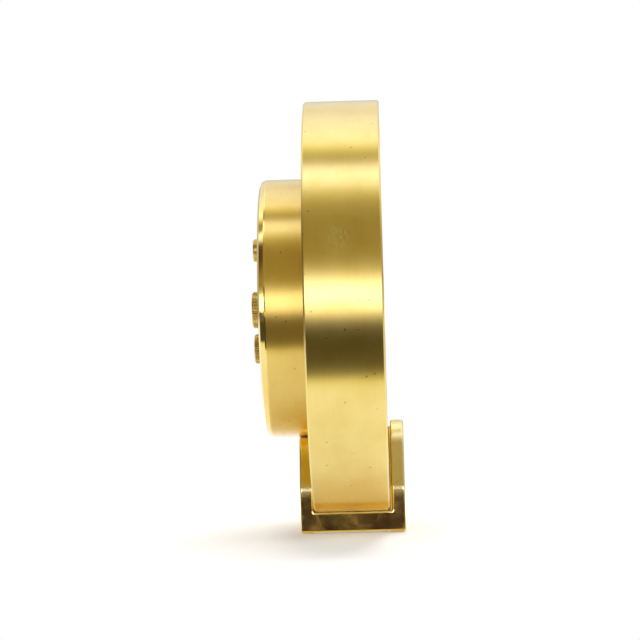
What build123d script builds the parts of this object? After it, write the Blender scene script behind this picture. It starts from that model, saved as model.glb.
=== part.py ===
from build123d import *
import os
from math import cos, pi, radians, sin

# A round brass desk clock with an alarm: a drum on a U-shaped foot.
# Millimetres. The dial looks along -Y, +Z is up and the foot rests on z = 0.
# Depths are places along Y, counted from the middle of the drum's depth, front to back.

# Drum
drum_diameter = 90.0
drum_depth = 16.2
drum_wall = 2.0
drum_edge_break = 0.35
plate_setback = 0.12
front_plate_thickness = 1.8
back_plate_thickness = 1.6

# Posts and screws that tie the drum's front and back together
case_post_count = 4
case_post_radius = 2.6
case_screw_radius = 1.0
case_screw_grip = 6.0
blind_floor = 0.3

# Rear housing and its flat back cover
housing_diameter = 56.6
housing_depth = 10.0
housing_wall = 1.2
housing_flange_width = 4.0
housing_flange_thickness = 1.2
housing_lug_radius = 1.7
housing_lug_length = 5.0
lug_inset_share = 0.9
lug_floor = 0.5
lug_angles = (20.0, 140.0, 260.0)
flange_screw_angles = (80.0, 200.0, 320.0)
flange_screw_inset = 1.8
flange_screw_grip = 1.1
cover_thickness = 1.6
cover_bevel = 1.3
bevel_bulge_share = 0.3
cover_spigot_depth = 1.0
cover_spigot_wall = 1.2
housing_screw_radius = 0.8

# Glazed opening
opening_radius = 24.0
bezel_setback = 0.2
bezel_lip_width = 1.6
bezel_lip_thickness = 0.8
bezel_lip_round = 0.6
bezel_lip_slope = 0.2
bezel_reach_share = 0.6
bezel_wall = 0.55
bezel_flange_width = 1.8
bezel_flange_thickness = 1.0
glass_thickness = 1.4
glass_edge = 0.2
gasket_thickness = 0.4
gasket_width = 1.0
surround_width = 1.8
hand_room = 3.3

# Dial, its applied batons and the hands
dial_thickness = 0.5
dial_overlap = 0.9
dial_foot_radius = 0.6
dial_foot_inset = 4.3
dial_foot_short = 0.3
dial_feet_angles = (100.0, 280.0)
baton_length = 3.0
baton_width = 1.0
quarter_baton_width = 1.7
baton_height = 0.3
baton_gap = 1.2
hand_thickness = 0.2
hand_gap = 0.3
hub_depth = 0.35
hub_rim = 0.6
# Each hand: how far its tip stays inside the circle of the batons' middles, tail, width at
# the pipe, width near the tip
alarm_hand_shape = (7.9, 2.8, 1.1, 0.5)
hour_hand_shape = (5.7, 2.6, 1.7, 1.2)
minute_hand_shape = (0.7, 3.2, 1.4, 0.9)
seconds_hand_shape = (0.3, 5.4, 0.5, 0.3)
shown_hours = 10.0
shown_minutes = 8.6
alarm_angle = 180.0

# Pipes and arbors of the hands, one inside the other
running_fit = 0.06
fixed_fit = 0.05
seconds_arbor_radius = 0.35
pipe_wall = 0.45
dial_hole_gap = 0.3
arbor_radius = 0.4
arbor_socket_share = 0.5
setting_arbor_radius = 0.7
alarm_arbor_radius = 0.6
time_arbor_radius = 1.0

# Movement plates and pillars
plate_thickness = 1.2
movement_plate_radius = 23.4
pillar_length = 9.5
pillar_radius = 1.5
pillar_circle = 22.0
pillar_angles = (75.0, 195.0, 315.0)
plate_screw_radius = 0.7
plate_screw_grip = 3.0
movement_screw_grip = 3.0

# Wheels: tooth counts, thickness and arbor places
addendum = 0.8
dedendum = 1.15
tooth_root_share = 0.27
tooth_tip_share = 0.10
wheel_thickness = 0.6
motion_wheel_thickness = 0.8
level_gap = 0.2
clutch_room = 0.5
clutch_gap = 0.1
clutch_radius = 2.6
shoulder_gap = 0.08
shoulder_thickness = 0.3
pinion_over = 0.24
setting_room = 0.7
train_level_step = 1.5
train_distance = 8.4
setting_distance = 9.0
rotor_distance = 4.8
third_angle = 60.0
intermediate_angle = -25.0
rotor_angle = -10.0
setting_angle = 180.0
cannon_teeth = 12
minute_wheel_teeth = 36
minute_pinion_teeth = 10
hour_wheel_teeth = 40
alarm_pinion_teeth = 16
alarm_wheel_teeth = 48
centre_wheel_teeth = 60
third_pinion_teeth = 8
third_wheel_teeth = 64
seconds_pinion_teeth = 8
seconds_wheel_teeth = 60
intermediate_pinion_teeth = 10
intermediate_wheel_teeth = 40
rotor_pinion_teeth = 8

# Stepping motor
magnet_radius = 2.2
magnet_length = 1.6
magnet_gap = 0.5
stator_thickness = 0.8
stator_ring_width = 1.4
stator_arm_width = 1.5
stator_slot = 1.0
coil_radius = 2.1
coil_length = 10.0
coil_core_size = 1.2
coil_cheek_thickness = 0.6
coil_cheek_rim = 0.3
coil_clearance = 0.3
coil_x = 19.2

# Circuit board and what is soldered to it
board_thickness = 0.8
board_inner_radius = 12.0
board_outer_radius = 22.8
board_start_angle = 115.0
board_end_angle = 245.0
board_to_plate = 1.0
chip_size = 5.0
chip_height = 1.2
chip_circle = 17.0
chip_angle = 212.0
crystal_radius = 1.0
crystal_length = 6.0
crystal_circle = 17.5
crystal_angle = 176.0
buzzer_radius = 5.4
buzzer_height = 6.8
buzzer_port_radius = 1.35
buzzer_port_depth = 1.0
buzzer_gap = 1.27
buzzer_angle = 137.0
sound_hole_radius = 0.6
sound_hole_circle = 3.0
sound_hole_count = 6

# Battery
cell_radius = 5.8
cell_height = 5.4
cell_step = 0.4
cell_step_width = 1.2
cell_edge = 0.2
cell_angle = 31.5
holder_wall = 0.9
holder_floor = 0.8
holder_fit = 0.5
holder_gap = 1.7
contact_thickness = 0.25
contact_width = 2.6
contact_gap = 0.05
leaf_radius = 2.9
contact_spring_height = 0.4
contact_tail = 1.4
cap_radius = 7.5
cap_disc_thickness = 0.8
cap_spigot_radius = 6.3
cap_spigot_depth = 0.55
cap_sunk = 0.05
cap_fit = 0.08
cap_lug_width = 0.9
cap_lug_angle = 40.0
cap_turn = 60.0
coin_slot_length = 10.0
coin_slot_width = 1.6
coin_slot_depth = 0.4

# Controls on the back
knob_gap = 0.15
time_knob_diameter = 7.9
time_knob_proud = 2.6
time_knob_flutes = 44
time_neck_radius = 2.2
neck_reach = 0.4
alarm_knob_diameter = 6.4
alarm_knob_proud = 2.3
alarm_knob_flutes = 54
alarm_neck_radius = 1.8
alarm_knob_drop = 8.5
flute_depth = 0.16
flute_land_share = 0.4
knob_chamfer = 0.3
button_diameter = 5.0
button_proud = 2.1
button_head_thickness = 0.9
button_edge = 0.3
button_stem_radius = 1.7
button_tail_radius = 0.8
button_rise = 13.0
button_travel = 1.2
switch_size = 6.0
switch_height = 2.4
switch_floor = 0.24

# Foot
foot_width = 22.0
foot_plate_thickness = 3.15
foot_flange_thickness = 2.85
foot_shoulder_height = 9.8
foot_shoulder_round = 3.0
foot_tab_radius = 8.0
foot_bezel_gap = 0.8
foot_front_gap = 0.5
foot_rear_gap = 0.1
foot_edge_round = 0.5
foot_scoop_gap = 0.4
foot_pad_thickness = 0.8
foot_pad_proud = 0.2
foot_pad_margin = 2.0
foot_block_width = 12.0
foot_block_depth = 11.0
foot_block_height = 6.0
foot_screw_radius = 1.5
foot_screw_spacing = 6.4
foot_screw_reach = 5.0

# Fasteners
screw_fit = 0.05
slot_width_share = 0.35
slot_depth = 0.35
head_to_shank = 1.9
pan_head_height = 0.8
head_round_share = 0.25

# How far a cutting tool runs past the face that it cuts
overcut = 1.0

# Places that follow from the sizes above
drum_radius = drum_diameter / 2
bore_radius = drum_radius - drum_wall
front_face = -drum_depth / 2
back_face = drum_depth / 2
front_plate_front = front_face + plate_setback
front_plate_back = front_plate_front + front_plate_thickness
back_plate_back = back_face - plate_setback
back_plate_front = back_plate_back - back_plate_thickness

housing_radius = housing_diameter / 2
housing_bore = housing_radius - housing_wall
housing_back = back_face + housing_depth
cover_front = housing_back - cover_thickness
flange_radius = housing_radius + housing_flange_width
case_post_circle = (flange_radius + bore_radius) / 2
lug_circle = housing_bore - lug_inset_share * housing_lug_radius
buzzer_circle = lug_circle - housing_lug_radius - buzzer_gap - buzzer_radius
holder_bore = cell_radius + holder_fit
holder_radius = holder_bore + holder_wall
cell_circle = housing_bore - holder_gap - holder_radius
flange_screw_circle = flange_radius - flange_screw_inset

bezel_front = front_face + bezel_setback
glass_front = bezel_front + bezel_lip_thickness
glass_back = glass_front + glass_thickness
gasket_back = glass_back + gasket_thickness
glass_radius = opening_radius - bezel_wall - fixed_fit
bezel_inner_radius = opening_radius - bezel_lip_width
dial_front = glass_back + hand_room
dial_back = dial_front + dial_thickness
dial_radius = glass_radius + dial_overlap
dial_foot_circle = dial_radius - dial_foot_inset
baton_circle = glass_radius - surround_width - baton_gap - baton_length / 2

alarm_level = dial_back + 2 * level_gap
hour_level = alarm_level + motion_wheel_thickness + level_gap
minute_level = hour_level + motion_wheel_thickness + level_gap
main_plate_front = minute_level + motion_wheel_thickness + level_gap
main_plate_back = main_plate_front + plate_thickness
centre_level = main_plate_back + clutch_room
third_level = centre_level + train_level_step + level_gap
seconds_level = third_level + train_level_step
intermediate_level = seconds_level + train_level_step
movement_plate_front = main_plate_back + pillar_length
movement_plate_back = movement_plate_front + plate_thickness
setting_level = movement_plate_back + setting_room

minute_pipe_bore = seconds_arbor_radius + running_fit
minute_pipe_radius = minute_pipe_bore + pipe_wall
hour_pipe_bore = minute_pipe_radius + running_fit
hour_pipe_radius = hour_pipe_bore + pipe_wall
alarm_pipe_bore = hour_pipe_radius + running_fit
alarm_pipe_radius = alarm_pipe_bore + pipe_wall
dial_hole_radius = alarm_pipe_radius + dial_hole_gap

hand_step = hand_thickness + hand_gap
alarm_hand_back = dial_front - hub_depth
hour_hand_back = alarm_hand_back - hand_step
minute_hand_back = hour_hand_back - hand_step
seconds_hand_back = minute_hand_back - hand_step

foot_bottom = foot_pad_proud
foot_top = foot_bottom + foot_plate_thickness
drum_height = foot_top + drum_radius
foot_front_height = drum_height - opening_radius - foot_bezel_gap
foot_front_inner = front_face - foot_front_gap
foot_front_outer = foot_front_inner - foot_flange_thickness
foot_rear_inner = back_face + foot_rear_gap
foot_rear_outer = foot_rear_inner + foot_flange_thickness
foot_inner_corner = foot_rear_gap + drum_edge_break


def around(radius, angle):
    """Place on a circle about the drum's axis, counter-clockwise from +X as the dial is seen."""
    return radius * cos(radians(angle)), radius * sin(radians(angle))


cell_x, cell_z = around(cell_circle, cell_angle)
third_x, third_z = around(train_distance, third_angle)
intermediate_x, intermediate_z = around(train_distance, intermediate_angle)
setting_x, setting_z = around(setting_distance, setting_angle)
rotor_step = around(rotor_distance, rotor_angle)
rotor_x = intermediate_x + rotor_step[0]
rotor_z = intermediate_z + rotor_step[1]


def turned(*profile):
    """Solid turned about the drum's axis direction from (radius, depth) points."""
    return revolve(make_face(Polyline(*profile, close=True)), Axis.Y, 360)


def disc(radius, front, back, bore=0.0):
    """Round plate or ring between two depths."""
    return turned((bore, front), (radius, front), (radius, back), (bore, back))


def slab(sketch, front, back):
    """Flat piece between two depths, from a sketch whose axes are x and height."""
    return extrude(Plane.XZ.offset(-back) * sketch, amount=back - front)


def at(x, z, *solids):
    """The solids moved to a place beside the drum's axis."""
    moved = [Pos(x, 0, z) * solid for solid in solids]
    return moved[0] if len(moved) == 1 else moved


def save(node, *solids):
    """Write one node, with everything that turns about the drum's axis raised to its height."""
    raised = [Pos(0, 0, drum_height) * solid for solid in solids]
    write(node, *raised)


def write(node, *solids):
    """Write one node as it stands."""
    pieces = []
    for solid in solids:
        pieces.extend(solid.solids())
    shape = pieces[0] if len(pieces) == 1 else Compound(children=pieces)
    export_step(shape, f"parts/{node}.step")


def toothed(teeth, module, front, back, phase):
    """Spur wheel with straight-flanked teeth, one of them centred on the phase angle in radians."""
    pitch = 2 * pi / teeth
    root_radius = (teeth / 2 - dedendum) * module
    tip_radius = (teeth / 2 + addendum) * module
    corners = (
        (root_radius, -tooth_root_share), (tip_radius, -tooth_tip_share),
        (tip_radius, tooth_tip_share), (root_radius, tooth_root_share),
    )
    outline = []
    for tooth in range(teeth):
        for radius, share in corners:
            angle = phase + (tooth + share) * pitch
            outline.append((radius * cos(angle), radius * sin(angle)))
    return slab(make_face(Polyline(*outline, close=True)), front, back)


def mesh(teeth, other_teeth, distance, towards):
    """Module and tooth phases of two wheels in mesh, the second lying in the direction towards."""
    module = 2 * distance / (teeth + other_teeth)
    direction = radians(towards)
    return module, direction, direction + pi + pi / other_teeth


def slotted_head(head_radius, depth_face):
    """Tool that cuts a screwdriver slot into a head whose face looks backward."""
    slot = Box(3 * head_radius, 2 * slot_depth, 2 * head_radius * slot_width_share)
    return Pos(0, depth_face, 0) * slot


def pan_screw(shank_radius, length, seat):
    """Pan-head screw: the head stands behind the seat and the shank runs forward from it."""
    head_radius = shank_radius * head_to_shank
    top = seat + pan_head_height
    head_round = head_round_share * pan_head_height
    body = turned(
        (0, seat - length), (shank_radius, seat - length), (shank_radius, seat), (head_radius, seat),
        (head_radius, top - head_round), (head_radius - head_round, top), (0, top),
    )
    return body - slotted_head(head_radius, top)


def sunk_screw(shank_radius, length, face):
    """Countersunk screw with its flat head level with a face that looks backward."""
    head_radius = shank_radius * head_to_shank
    cone = face - (head_radius - shank_radius)
    end = face - length
    body = turned((0, end), (shank_radius, end), (shank_radius, cone), (head_radius, face), (0, face))
    return body - slotted_head(head_radius, face)


def sunk_hole(shank_radius, length, face):
    """Hole for a countersunk screw, wider than it all round by the screw fit."""
    radius = shank_radius + screw_fit
    head_radius = shank_radius * head_to_shank + screw_fit
    cone = face - (head_radius - radius)
    over = face + overcut
    end = face - length - screw_fit
    return turned(
        (0, end), (radius, end), (radius, cone), (head_radius, face), (head_radius, over), (0, over))


def hand(shape, back, angle):
    """Flat tapered hand pointing clockwise from twelve by the angle in degrees."""
    inset, tail, root_width, tip_width = shape
    length = baton_circle - inset
    root = root_width / 2
    tip = tip_width / 2
    taper_end = length - tip_width
    outline = Polyline(
        (-root, -tail), (root, -tail), (root, 0), (tip, taper_end), (0, length), (-tip, taper_end),
        (-root, 0), close=True,
    )
    return Rot(0, angle, 0) * slab(make_face(outline), back - hand_thickness, back)


def hub(pipe_radius, back):
    """Collet that holds a hand on its pipe."""
    bottom = back - hand_thickness + hub_depth
    return disc(pipe_radius + hub_rim, back - hand_thickness, bottom)


os.makedirs("parts", exist_ok=True)
pivot_hole = arbor_radius + running_fit

# Gear pairs: module and phases. The angles point from the first wheel of a pair to the second.
motion_module, cannon_phase, minute_wheel_phase = mesh(
    cannon_teeth, minute_wheel_teeth, setting_distance, setting_angle)
hour_module, hour_wheel_phase, minute_pinion_phase = mesh(
    hour_wheel_teeth, minute_pinion_teeth, setting_distance, setting_angle)
alarm_module, alarm_wheel_phase, alarm_pinion_phase = mesh(
    alarm_wheel_teeth, alarm_pinion_teeth, alarm_knob_drop, -90.0)
centre_module, centre_wheel_phase, third_pinion_phase = mesh(
    centre_wheel_teeth, third_pinion_teeth, train_distance, third_angle)
third_module, seconds_pinion_phase, third_wheel_phase = mesh(
    seconds_pinion_teeth, third_wheel_teeth, train_distance, third_angle)
seconds_module, seconds_wheel_phase, intermediate_pinion_phase = mesh(
    seconds_wheel_teeth, intermediate_pinion_teeth, train_distance, intermediate_angle)
rotor_module, intermediate_wheel_phase, rotor_pinion_phase = mesh(
    intermediate_wheel_teeth, rotor_pinion_teeth, rotor_distance, rotor_angle)

# Drum ring: the brushed outer wall, its edges broken front and back
ring_profile = (
    (bore_radius, front_face), (drum_radius - drum_edge_break, front_face),
    (drum_radius, front_face + drum_edge_break), (drum_radius, back_face - drum_edge_break),
    (drum_radius - drum_edge_break, back_face), (bore_radius, back_face),
)
drum_ring = turned(*ring_profile)
foot_screw_rows = (-foot_screw_spacing / 2, foot_screw_spacing / 2)
for row in foot_screw_rows:
    ring_hole = Cylinder(foot_screw_radius + screw_fit, 3 * drum_wall)
    drum_ring -= Pos(0, row, -drum_radius + drum_wall / 2) * ring_hole
save("drum_ring", drum_ring)

# Front plate: the wide flat face round the opening
front_plate = disc(bore_radius, front_plate_front, front_plate_back, opening_radius)
save("front_plate", front_plate)

# Back plate: the flat rear ring that the housing passes through
back_plate = disc(bore_radius, back_plate_front, back_plate_back, housing_radius + fixed_fit)
case_post_step = 360 / case_post_count
case_post_angles = [(turn + 0.5) * case_post_step for turn in range(case_post_count)]
case_post_spots = [around(case_post_circle, angle) for angle in case_post_angles]
flange_screw_spots = [around(flange_screw_circle, angle) for angle in flange_screw_angles]
for x, z in case_post_spots:
    back_plate -= at(x, z, sunk_hole(case_screw_radius, case_screw_grip, back_plate_back))
for x, z in flange_screw_spots:
    flange_hole = disc(
        housing_screw_radius + screw_fit, back_plate_front - overcut, back_plate_back - blind_floor)
    back_plate -= at(x, z, flange_hole)
save("back_plate", back_plate)

# Case posts and their countersunk screws
post = disc(case_post_radius, front_plate_back, back_plate_front)
post -= sunk_hole(case_screw_radius, case_screw_grip, back_plate_back)
save("case_posts", *[at(x, z, post) for x, z in case_post_spots])
case_screw = sunk_screw(case_screw_radius, case_screw_grip, back_plate_back)
save("case_screws", *[at(x, z, case_screw) for x, z in case_post_spots])

# Bezel ring: polished lip in front of the glass, and a flange behind the front plate
bezel_wall_bore = opening_radius - bezel_wall
bezel_back = gasket_back + bezel_reach_share * (dial_front - gasket_back)
bezel_ring = turned(
    (bezel_inner_radius, glass_front),
    (bezel_inner_radius + bezel_lip_round / 2, bezel_front + bezel_lip_slope),
    (bezel_inner_radius + bezel_lip_round, bezel_front), (opening_radius, bezel_front),
    (opening_radius, front_plate_back), (opening_radius + bezel_flange_width, front_plate_back),
    (opening_radius + bezel_flange_width, front_plate_back + bezel_flange_thickness),
    (opening_radius, front_plate_back + bezel_flange_thickness), (opening_radius, bezel_back),
    (bezel_wall_bore, bezel_back), (bezel_wall_bore, glass_front),
)
save("bezel_ring", bezel_ring)

# Glass, its gasket and the sloping ring between the gasket and the dial
glass = turned(
    (0, glass_front), (glass_radius - glass_edge, glass_front), (glass_radius, glass_front + glass_edge),
    (glass_radius, glass_back - glass_edge), (glass_radius - glass_edge, glass_back), (0, glass_back),
)
save("glass", glass)
save("glass_gasket", disc(glass_radius, glass_back, gasket_back, glass_radius - gasket_width))
dial_surround = turned(
    (glass_radius - gasket_width, gasket_back), (glass_radius, gasket_back),
    (glass_radius, dial_front), (glass_radius - surround_width, dial_front),
)
save("dial_surround", dial_surround)

# Dial: a thin disc with two feet that go into the main plate
dial = disc(dial_radius, dial_front, dial_back, dial_hole_radius)
dial_feet_spots = [around(dial_foot_circle, angle) for angle in dial_feet_angles]
for x, z in dial_feet_spots:
    dial += at(x, z, disc(dial_foot_radius, dial_back, main_plate_back - dial_foot_short))
save("dial", dial)

# Hour batons applied to the dial, wider at the quarters
batons = []
for hour in range(12):
    width = quarter_baton_width if hour % 3 == 0 else baton_width
    face = Pos(0, baton_circle) * Rectangle(width, baton_length)
    batons.append(Rot(0, 30.0 * hour, 0) * slab(face, dial_front - baton_height, dial_front))
save("hour_markers", *batons)

# Hands, set to the time shown
minute_angle = shown_minutes * 6.0
hour_angle = shown_hours * 30.0 + shown_minutes * 0.5
seconds_angle = (shown_minutes % 1.0) * 360.0
alarm_hand = hand(alarm_hand_shape, alarm_hand_back, alarm_angle)
alarm_hand += hub(alarm_pipe_radius, alarm_hand_back)
alarm_hand -= disc(alarm_pipe_radius, alarm_hand_back - overcut, dial_front)
save("alarm_hand", alarm_hand)
hour_hand = hand(hour_hand_shape, hour_hand_back, hour_angle)
hour_hand += hub(hour_pipe_radius, hour_hand_back)
hour_hand -= disc(hour_pipe_radius, hour_hand_back - overcut, alarm_hand_back)
save("hour_hand", hour_hand)
minute_hand = hand(minute_hand_shape, minute_hand_back, minute_angle)
minute_hand += hub(minute_pipe_radius, minute_hand_back)
minute_hand -= disc(minute_pipe_radius, minute_hand_back - overcut, hour_hand_back)
save("minute_hand", minute_hand)
seconds_hand = hand(seconds_hand_shape, seconds_hand_back, seconds_angle)
seconds_hand += hub(seconds_arbor_radius, seconds_hand_back)
seconds_hand -= disc(seconds_arbor_radius, seconds_hand_back - overcut, minute_hand_back)
save("seconds_hand", seconds_hand)

# Alarm wheel, its pipe reaching to the alarm hand
alarm_wheel_back = alarm_level + motion_wheel_thickness
alarm_wheel = toothed(
    alarm_wheel_teeth, alarm_module, alarm_level, alarm_wheel_back, alarm_wheel_phase)
alarm_wheel += disc(alarm_pipe_radius, alarm_hand_back - hand_thickness, alarm_level)
alarm_wheel -= disc(alarm_pipe_bore, alarm_hand_back - overcut, hour_level)
save("alarm_wheel", alarm_wheel)

# Hour wheel and pipe
hour_wheel = toothed(
    hour_wheel_teeth, hour_module, hour_level, hour_level + motion_wheel_thickness, hour_wheel_phase)
hour_wheel += disc(hour_pipe_radius, hour_hand_back - hand_thickness, hour_level)
hour_wheel -= disc(hour_pipe_bore, hour_hand_back - overcut, minute_level)
save("hour_wheel", hour_wheel)

# Minute pipe: cannon pinion in front of the main plate, shoulder behind the centre wheel
shoulder_front = centre_level + wheel_thickness + shoulder_gap
shoulder_back = shoulder_front + shoulder_thickness
minute_wheel_back = minute_level + motion_wheel_thickness
minute_pipe = toothed(cannon_teeth, motion_module, minute_level, minute_wheel_back, cannon_phase)
minute_pipe += disc(minute_pipe_radius, minute_hand_back - hand_thickness, shoulder_back)
minute_pipe += disc(minute_pipe_radius + hub_rim, shoulder_front, shoulder_back)
minute_pipe -= disc(minute_pipe_bore, minute_hand_back - overcut, shoulder_back + overcut)
save("minute_pipe", minute_pipe)

# Clutch spring: a thin washer between the main plate and the centre wheel
clutch_front = main_plate_back + clutch_gap
clutch_back = centre_level - clutch_gap
save("clutch_spring", disc(clutch_radius, clutch_front, clutch_back, minute_pipe_radius))

# Centre wheel, loose on the minute pipe but for the clutch spring
centre_wheel_back = centre_level + wheel_thickness
centre_wheel = toothed(
    centre_wheel_teeth, centre_module, centre_level, centre_wheel_back, centre_wheel_phase)
centre_wheel -= disc(
    minute_pipe_radius + running_fit, centre_level - overcut, centre_wheel_back + overcut)
save("centre_wheel", centre_wheel)

# Third wheel and pinion
pivot_front = main_plate_front + level_gap
pivot_back = movement_plate_back - level_gap
third_wheel_back = third_level + wheel_thickness
third_wheel = toothed(third_wheel_teeth, third_module, third_level, third_wheel_back, third_wheel_phase)
third_wheel += toothed(
    third_pinion_teeth, centre_module, centre_level - pinion_over,
    centre_wheel_back + pinion_over, third_pinion_phase)
third_wheel += disc(arbor_radius, pivot_front, pivot_back)
save("third_wheel", at(third_x, third_z, third_wheel))

# Seconds wheel, pinion and the long arbor that carries the seconds hand
seconds_arbor_back = movement_plate_front + plate_thickness / 2
seconds_wheel_back = seconds_level + wheel_thickness
seconds_wheel = toothed(
    seconds_wheel_teeth, seconds_module, seconds_level, seconds_wheel_back, seconds_wheel_phase)
seconds_wheel += toothed(
    seconds_pinion_teeth, third_module, third_level - pinion_over,
    third_wheel_back + pinion_over, seconds_pinion_phase)
seconds_wheel += disc(seconds_arbor_radius, seconds_hand_back - hand_thickness, seconds_arbor_back)
save("seconds_wheel", seconds_wheel)

# Intermediate wheel between the seconds wheel and the rotor
intermediate_wheel_back = intermediate_level + wheel_thickness
intermediate_wheel = toothed(
    intermediate_wheel_teeth, rotor_module, intermediate_level, intermediate_wheel_back,
    intermediate_wheel_phase)
intermediate_wheel += toothed(
    intermediate_pinion_teeth, seconds_module, seconds_level - pinion_over,
    seconds_wheel_back + pinion_over, intermediate_pinion_phase)
intermediate_wheel += disc(arbor_radius, pivot_front, pivot_back)
save("intermediate_wheel", at(intermediate_x, intermediate_z, intermediate_wheel))

# Rotor: magnet, pinion and arbor
magnet_front = third_level - magnet_length / 2
magnet_back = magnet_front + magnet_length
rotor = toothed(
    rotor_pinion_teeth, rotor_module, intermediate_level - pinion_over,
    intermediate_wheel_back + pinion_over, rotor_pinion_phase)
rotor += disc(magnet_radius, magnet_front, magnet_back)
rotor += disc(arbor_radius, pivot_front, pivot_back)
save("rotor", at(rotor_x, rotor_z, rotor))

# Minute wheel of the motion work, on the arbor that the setting wheel turns
setting_back = setting_level + motion_wheel_thickness
minute_wheel = toothed(
    minute_wheel_teeth, motion_module, minute_level, minute_wheel_back, minute_wheel_phase)
minute_wheel += toothed(minute_pinion_teeth, hour_module, hour_level, minute_level, minute_pinion_phase)
minute_wheel += disc(setting_arbor_radius, hour_level, setting_back)
save("minute_wheel", at(setting_x, setting_z, minute_wheel))

# Setting wheel at the back of that arbor
setting_wheel = toothed(
    minute_wheel_teeth, motion_module, setting_level, setting_back, minute_wheel_phase)
setting_wheel -= disc(setting_arbor_radius, setting_level - overcut, setting_back + overcut)
save("setting_wheel", at(setting_x, setting_z, setting_wheel))

# Time-set arbor with its pinion, and the knob pressed on its end
time_knob_face = housing_back + time_knob_proud
time_arbor_back = time_knob_face - arbor_socket_share * time_knob_proud
time_arbor_front = seconds_arbor_back + level_gap
time_set_arbor = toothed(cannon_teeth, motion_module, setting_level, setting_back, cannon_phase)
time_set_arbor += disc(time_arbor_radius, time_arbor_front, time_arbor_back)
save("time_set_arbor", time_set_arbor)


def fluted_head(diameter, flutes, front, back):
    """Knob head with a fluted rim and a plain chamfered back edge."""
    radius = diameter / 2
    pitch = 2 * pi / flutes
    half_land = flute_land_share / 2
    low = radius - flute_depth
    outline = []
    for flute in range(flutes):
        for reach, share in ((radius, -half_land), (radius, half_land), (low, 0.5)):
            angle = (flute + share) * pitch
            outline.append((reach * cos(angle), reach * sin(angle)))
    head = slab(make_face(Polyline(*outline, close=True)), front, back)
    blank = turned(
        (0, front), (radius, front), (radius, back - knob_chamfer), (radius - knob_chamfer, back),
        (0, back),
    )
    return head & blank


knob_front = housing_back + knob_gap
neck_front = cover_front - neck_reach
time_set_knob = fluted_head(time_knob_diameter, time_knob_flutes, knob_front, time_knob_face)
time_set_knob += disc(time_neck_radius, neck_front, knob_front)
time_set_knob -= disc(time_arbor_radius, neck_front - overcut, time_arbor_back)
save("time_set_knob", time_set_knob)

# Alarm-set arbor with the pinion that turns the alarm wheel, and its knob
alarm_knob_face = housing_back + alarm_knob_proud
alarm_arbor_back = alarm_knob_face - arbor_socket_share * alarm_knob_proud
alarm_set_arbor = toothed(
    alarm_pinion_teeth, alarm_module, alarm_level, alarm_wheel_back, alarm_pinion_phase)
alarm_set_arbor += disc(alarm_arbor_radius, alarm_level, alarm_arbor_back)
save("alarm_set_arbor", at(0, -alarm_knob_drop, alarm_set_arbor))
alarm_set_knob = fluted_head(alarm_knob_diameter, alarm_knob_flutes, knob_front, alarm_knob_face)
alarm_set_knob += disc(alarm_neck_radius, neck_front, knob_front)
alarm_set_knob -= disc(alarm_arbor_radius, neck_front - overcut, alarm_arbor_back)
save("alarm_set_knob", at(0, -alarm_knob_drop, alarm_set_knob))

# Alarm button: a waisted head on a stem that slides in the switch behind the cover
switch_front = movement_plate_back
switch_back = switch_front + switch_height
button_face = housing_back + button_proud
head_front = button_face - button_head_thickness
tail_end = switch_back - button_travel - 2 * level_gap
button_radius = button_diameter / 2
alarm_button = turned(
    (0, tail_end), (button_tail_radius, tail_end), (button_tail_radius, switch_back + level_gap),
    (button_stem_radius, switch_back + level_gap), (button_stem_radius, head_front),
    (button_radius, head_front), (button_radius, button_face - button_edge),
    (button_radius - button_edge, button_face), (0, button_face),
)
save("alarm_button", at(0, button_rise, alarm_button))
alarm_switch = slab(Rectangle(switch_size, switch_size), switch_front, switch_back)
alarm_switch -= disc(
    button_tail_radius + running_fit, switch_front + switch_floor, switch_back + overcut)
save("alarm_switch", at(0, button_rise, alarm_switch))

# Rear housing: a tube with a flange inside the drum and three lugs for the movement
housing_front = main_plate_back
flange_back = back_plate_front
flange_front = flange_back - housing_flange_thickness
rear_housing = disc(housing_radius, housing_front, cover_front, housing_bore)
rear_housing += disc(flange_radius, flange_front, flange_back, housing_bore)
lug_spots = [around(lug_circle, angle) for angle in lug_angles]
lug_back = housing_front + housing_lug_length
for x, z in lug_spots:
    rear_housing += at(x, z, disc(housing_lug_radius, housing_front, lug_back))
lug_bore = disc(plate_screw_radius + screw_fit, housing_front - overcut, lug_back - lug_floor)
for x, z in lug_spots:
    rear_housing -= at(x, z, lug_bore)
flange_bore = disc(housing_screw_radius + screw_fit, flange_front - overcut, flange_back + overcut)
for x, z in flange_screw_spots:
    rear_housing -= at(x, z, flange_bore)
save("rear_housing", rear_housing)
forward = Rot(180, 0, 0)
housing_screw = forward * pan_screw(
    housing_screw_radius, housing_flange_thickness + flange_screw_grip, -flange_front)
save("housing_screws", *[at(x, z, housing_screw) for x, z in flange_screw_spots])

# Back cover: polished bevel, a short spigot in the housing and the holes for the controls
ledge_thickness = cover_thickness - cap_sunk - cap_disc_thickness - cap_fit
spigot_radius = housing_bore - fixed_fit
bevel_bulge = bevel_bulge_share * cover_bevel
back_cover = turned(
    (0, cover_front), (spigot_radius - cover_spigot_wall, cover_front),
    (spigot_radius - cover_spigot_wall, cover_front - cover_spigot_depth),
    (spigot_radius, cover_front - cover_spigot_depth), (spigot_radius, cover_front),
    (housing_radius, cover_front), (housing_radius, housing_back - cover_bevel),
    (housing_radius - bevel_bulge, housing_back - bevel_bulge),
    (housing_radius - cover_bevel, housing_back), (0, housing_back),
)
over_back = housing_back + overcut
under_cover = cover_front - cover_spigot_depth - overcut
back_cover -= disc(time_neck_radius + running_fit, under_cover, over_back)
back_cover -= at(0, -alarm_knob_drop, disc(alarm_neck_radius + running_fit, under_cover, over_back))
back_cover -= at(0, button_rise, disc(button_stem_radius + running_fit, under_cover, over_back))
back_cover -= at(cell_x, cell_z, disc(cap_radius + cap_fit, cover_front + ledge_thickness, over_back))
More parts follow.
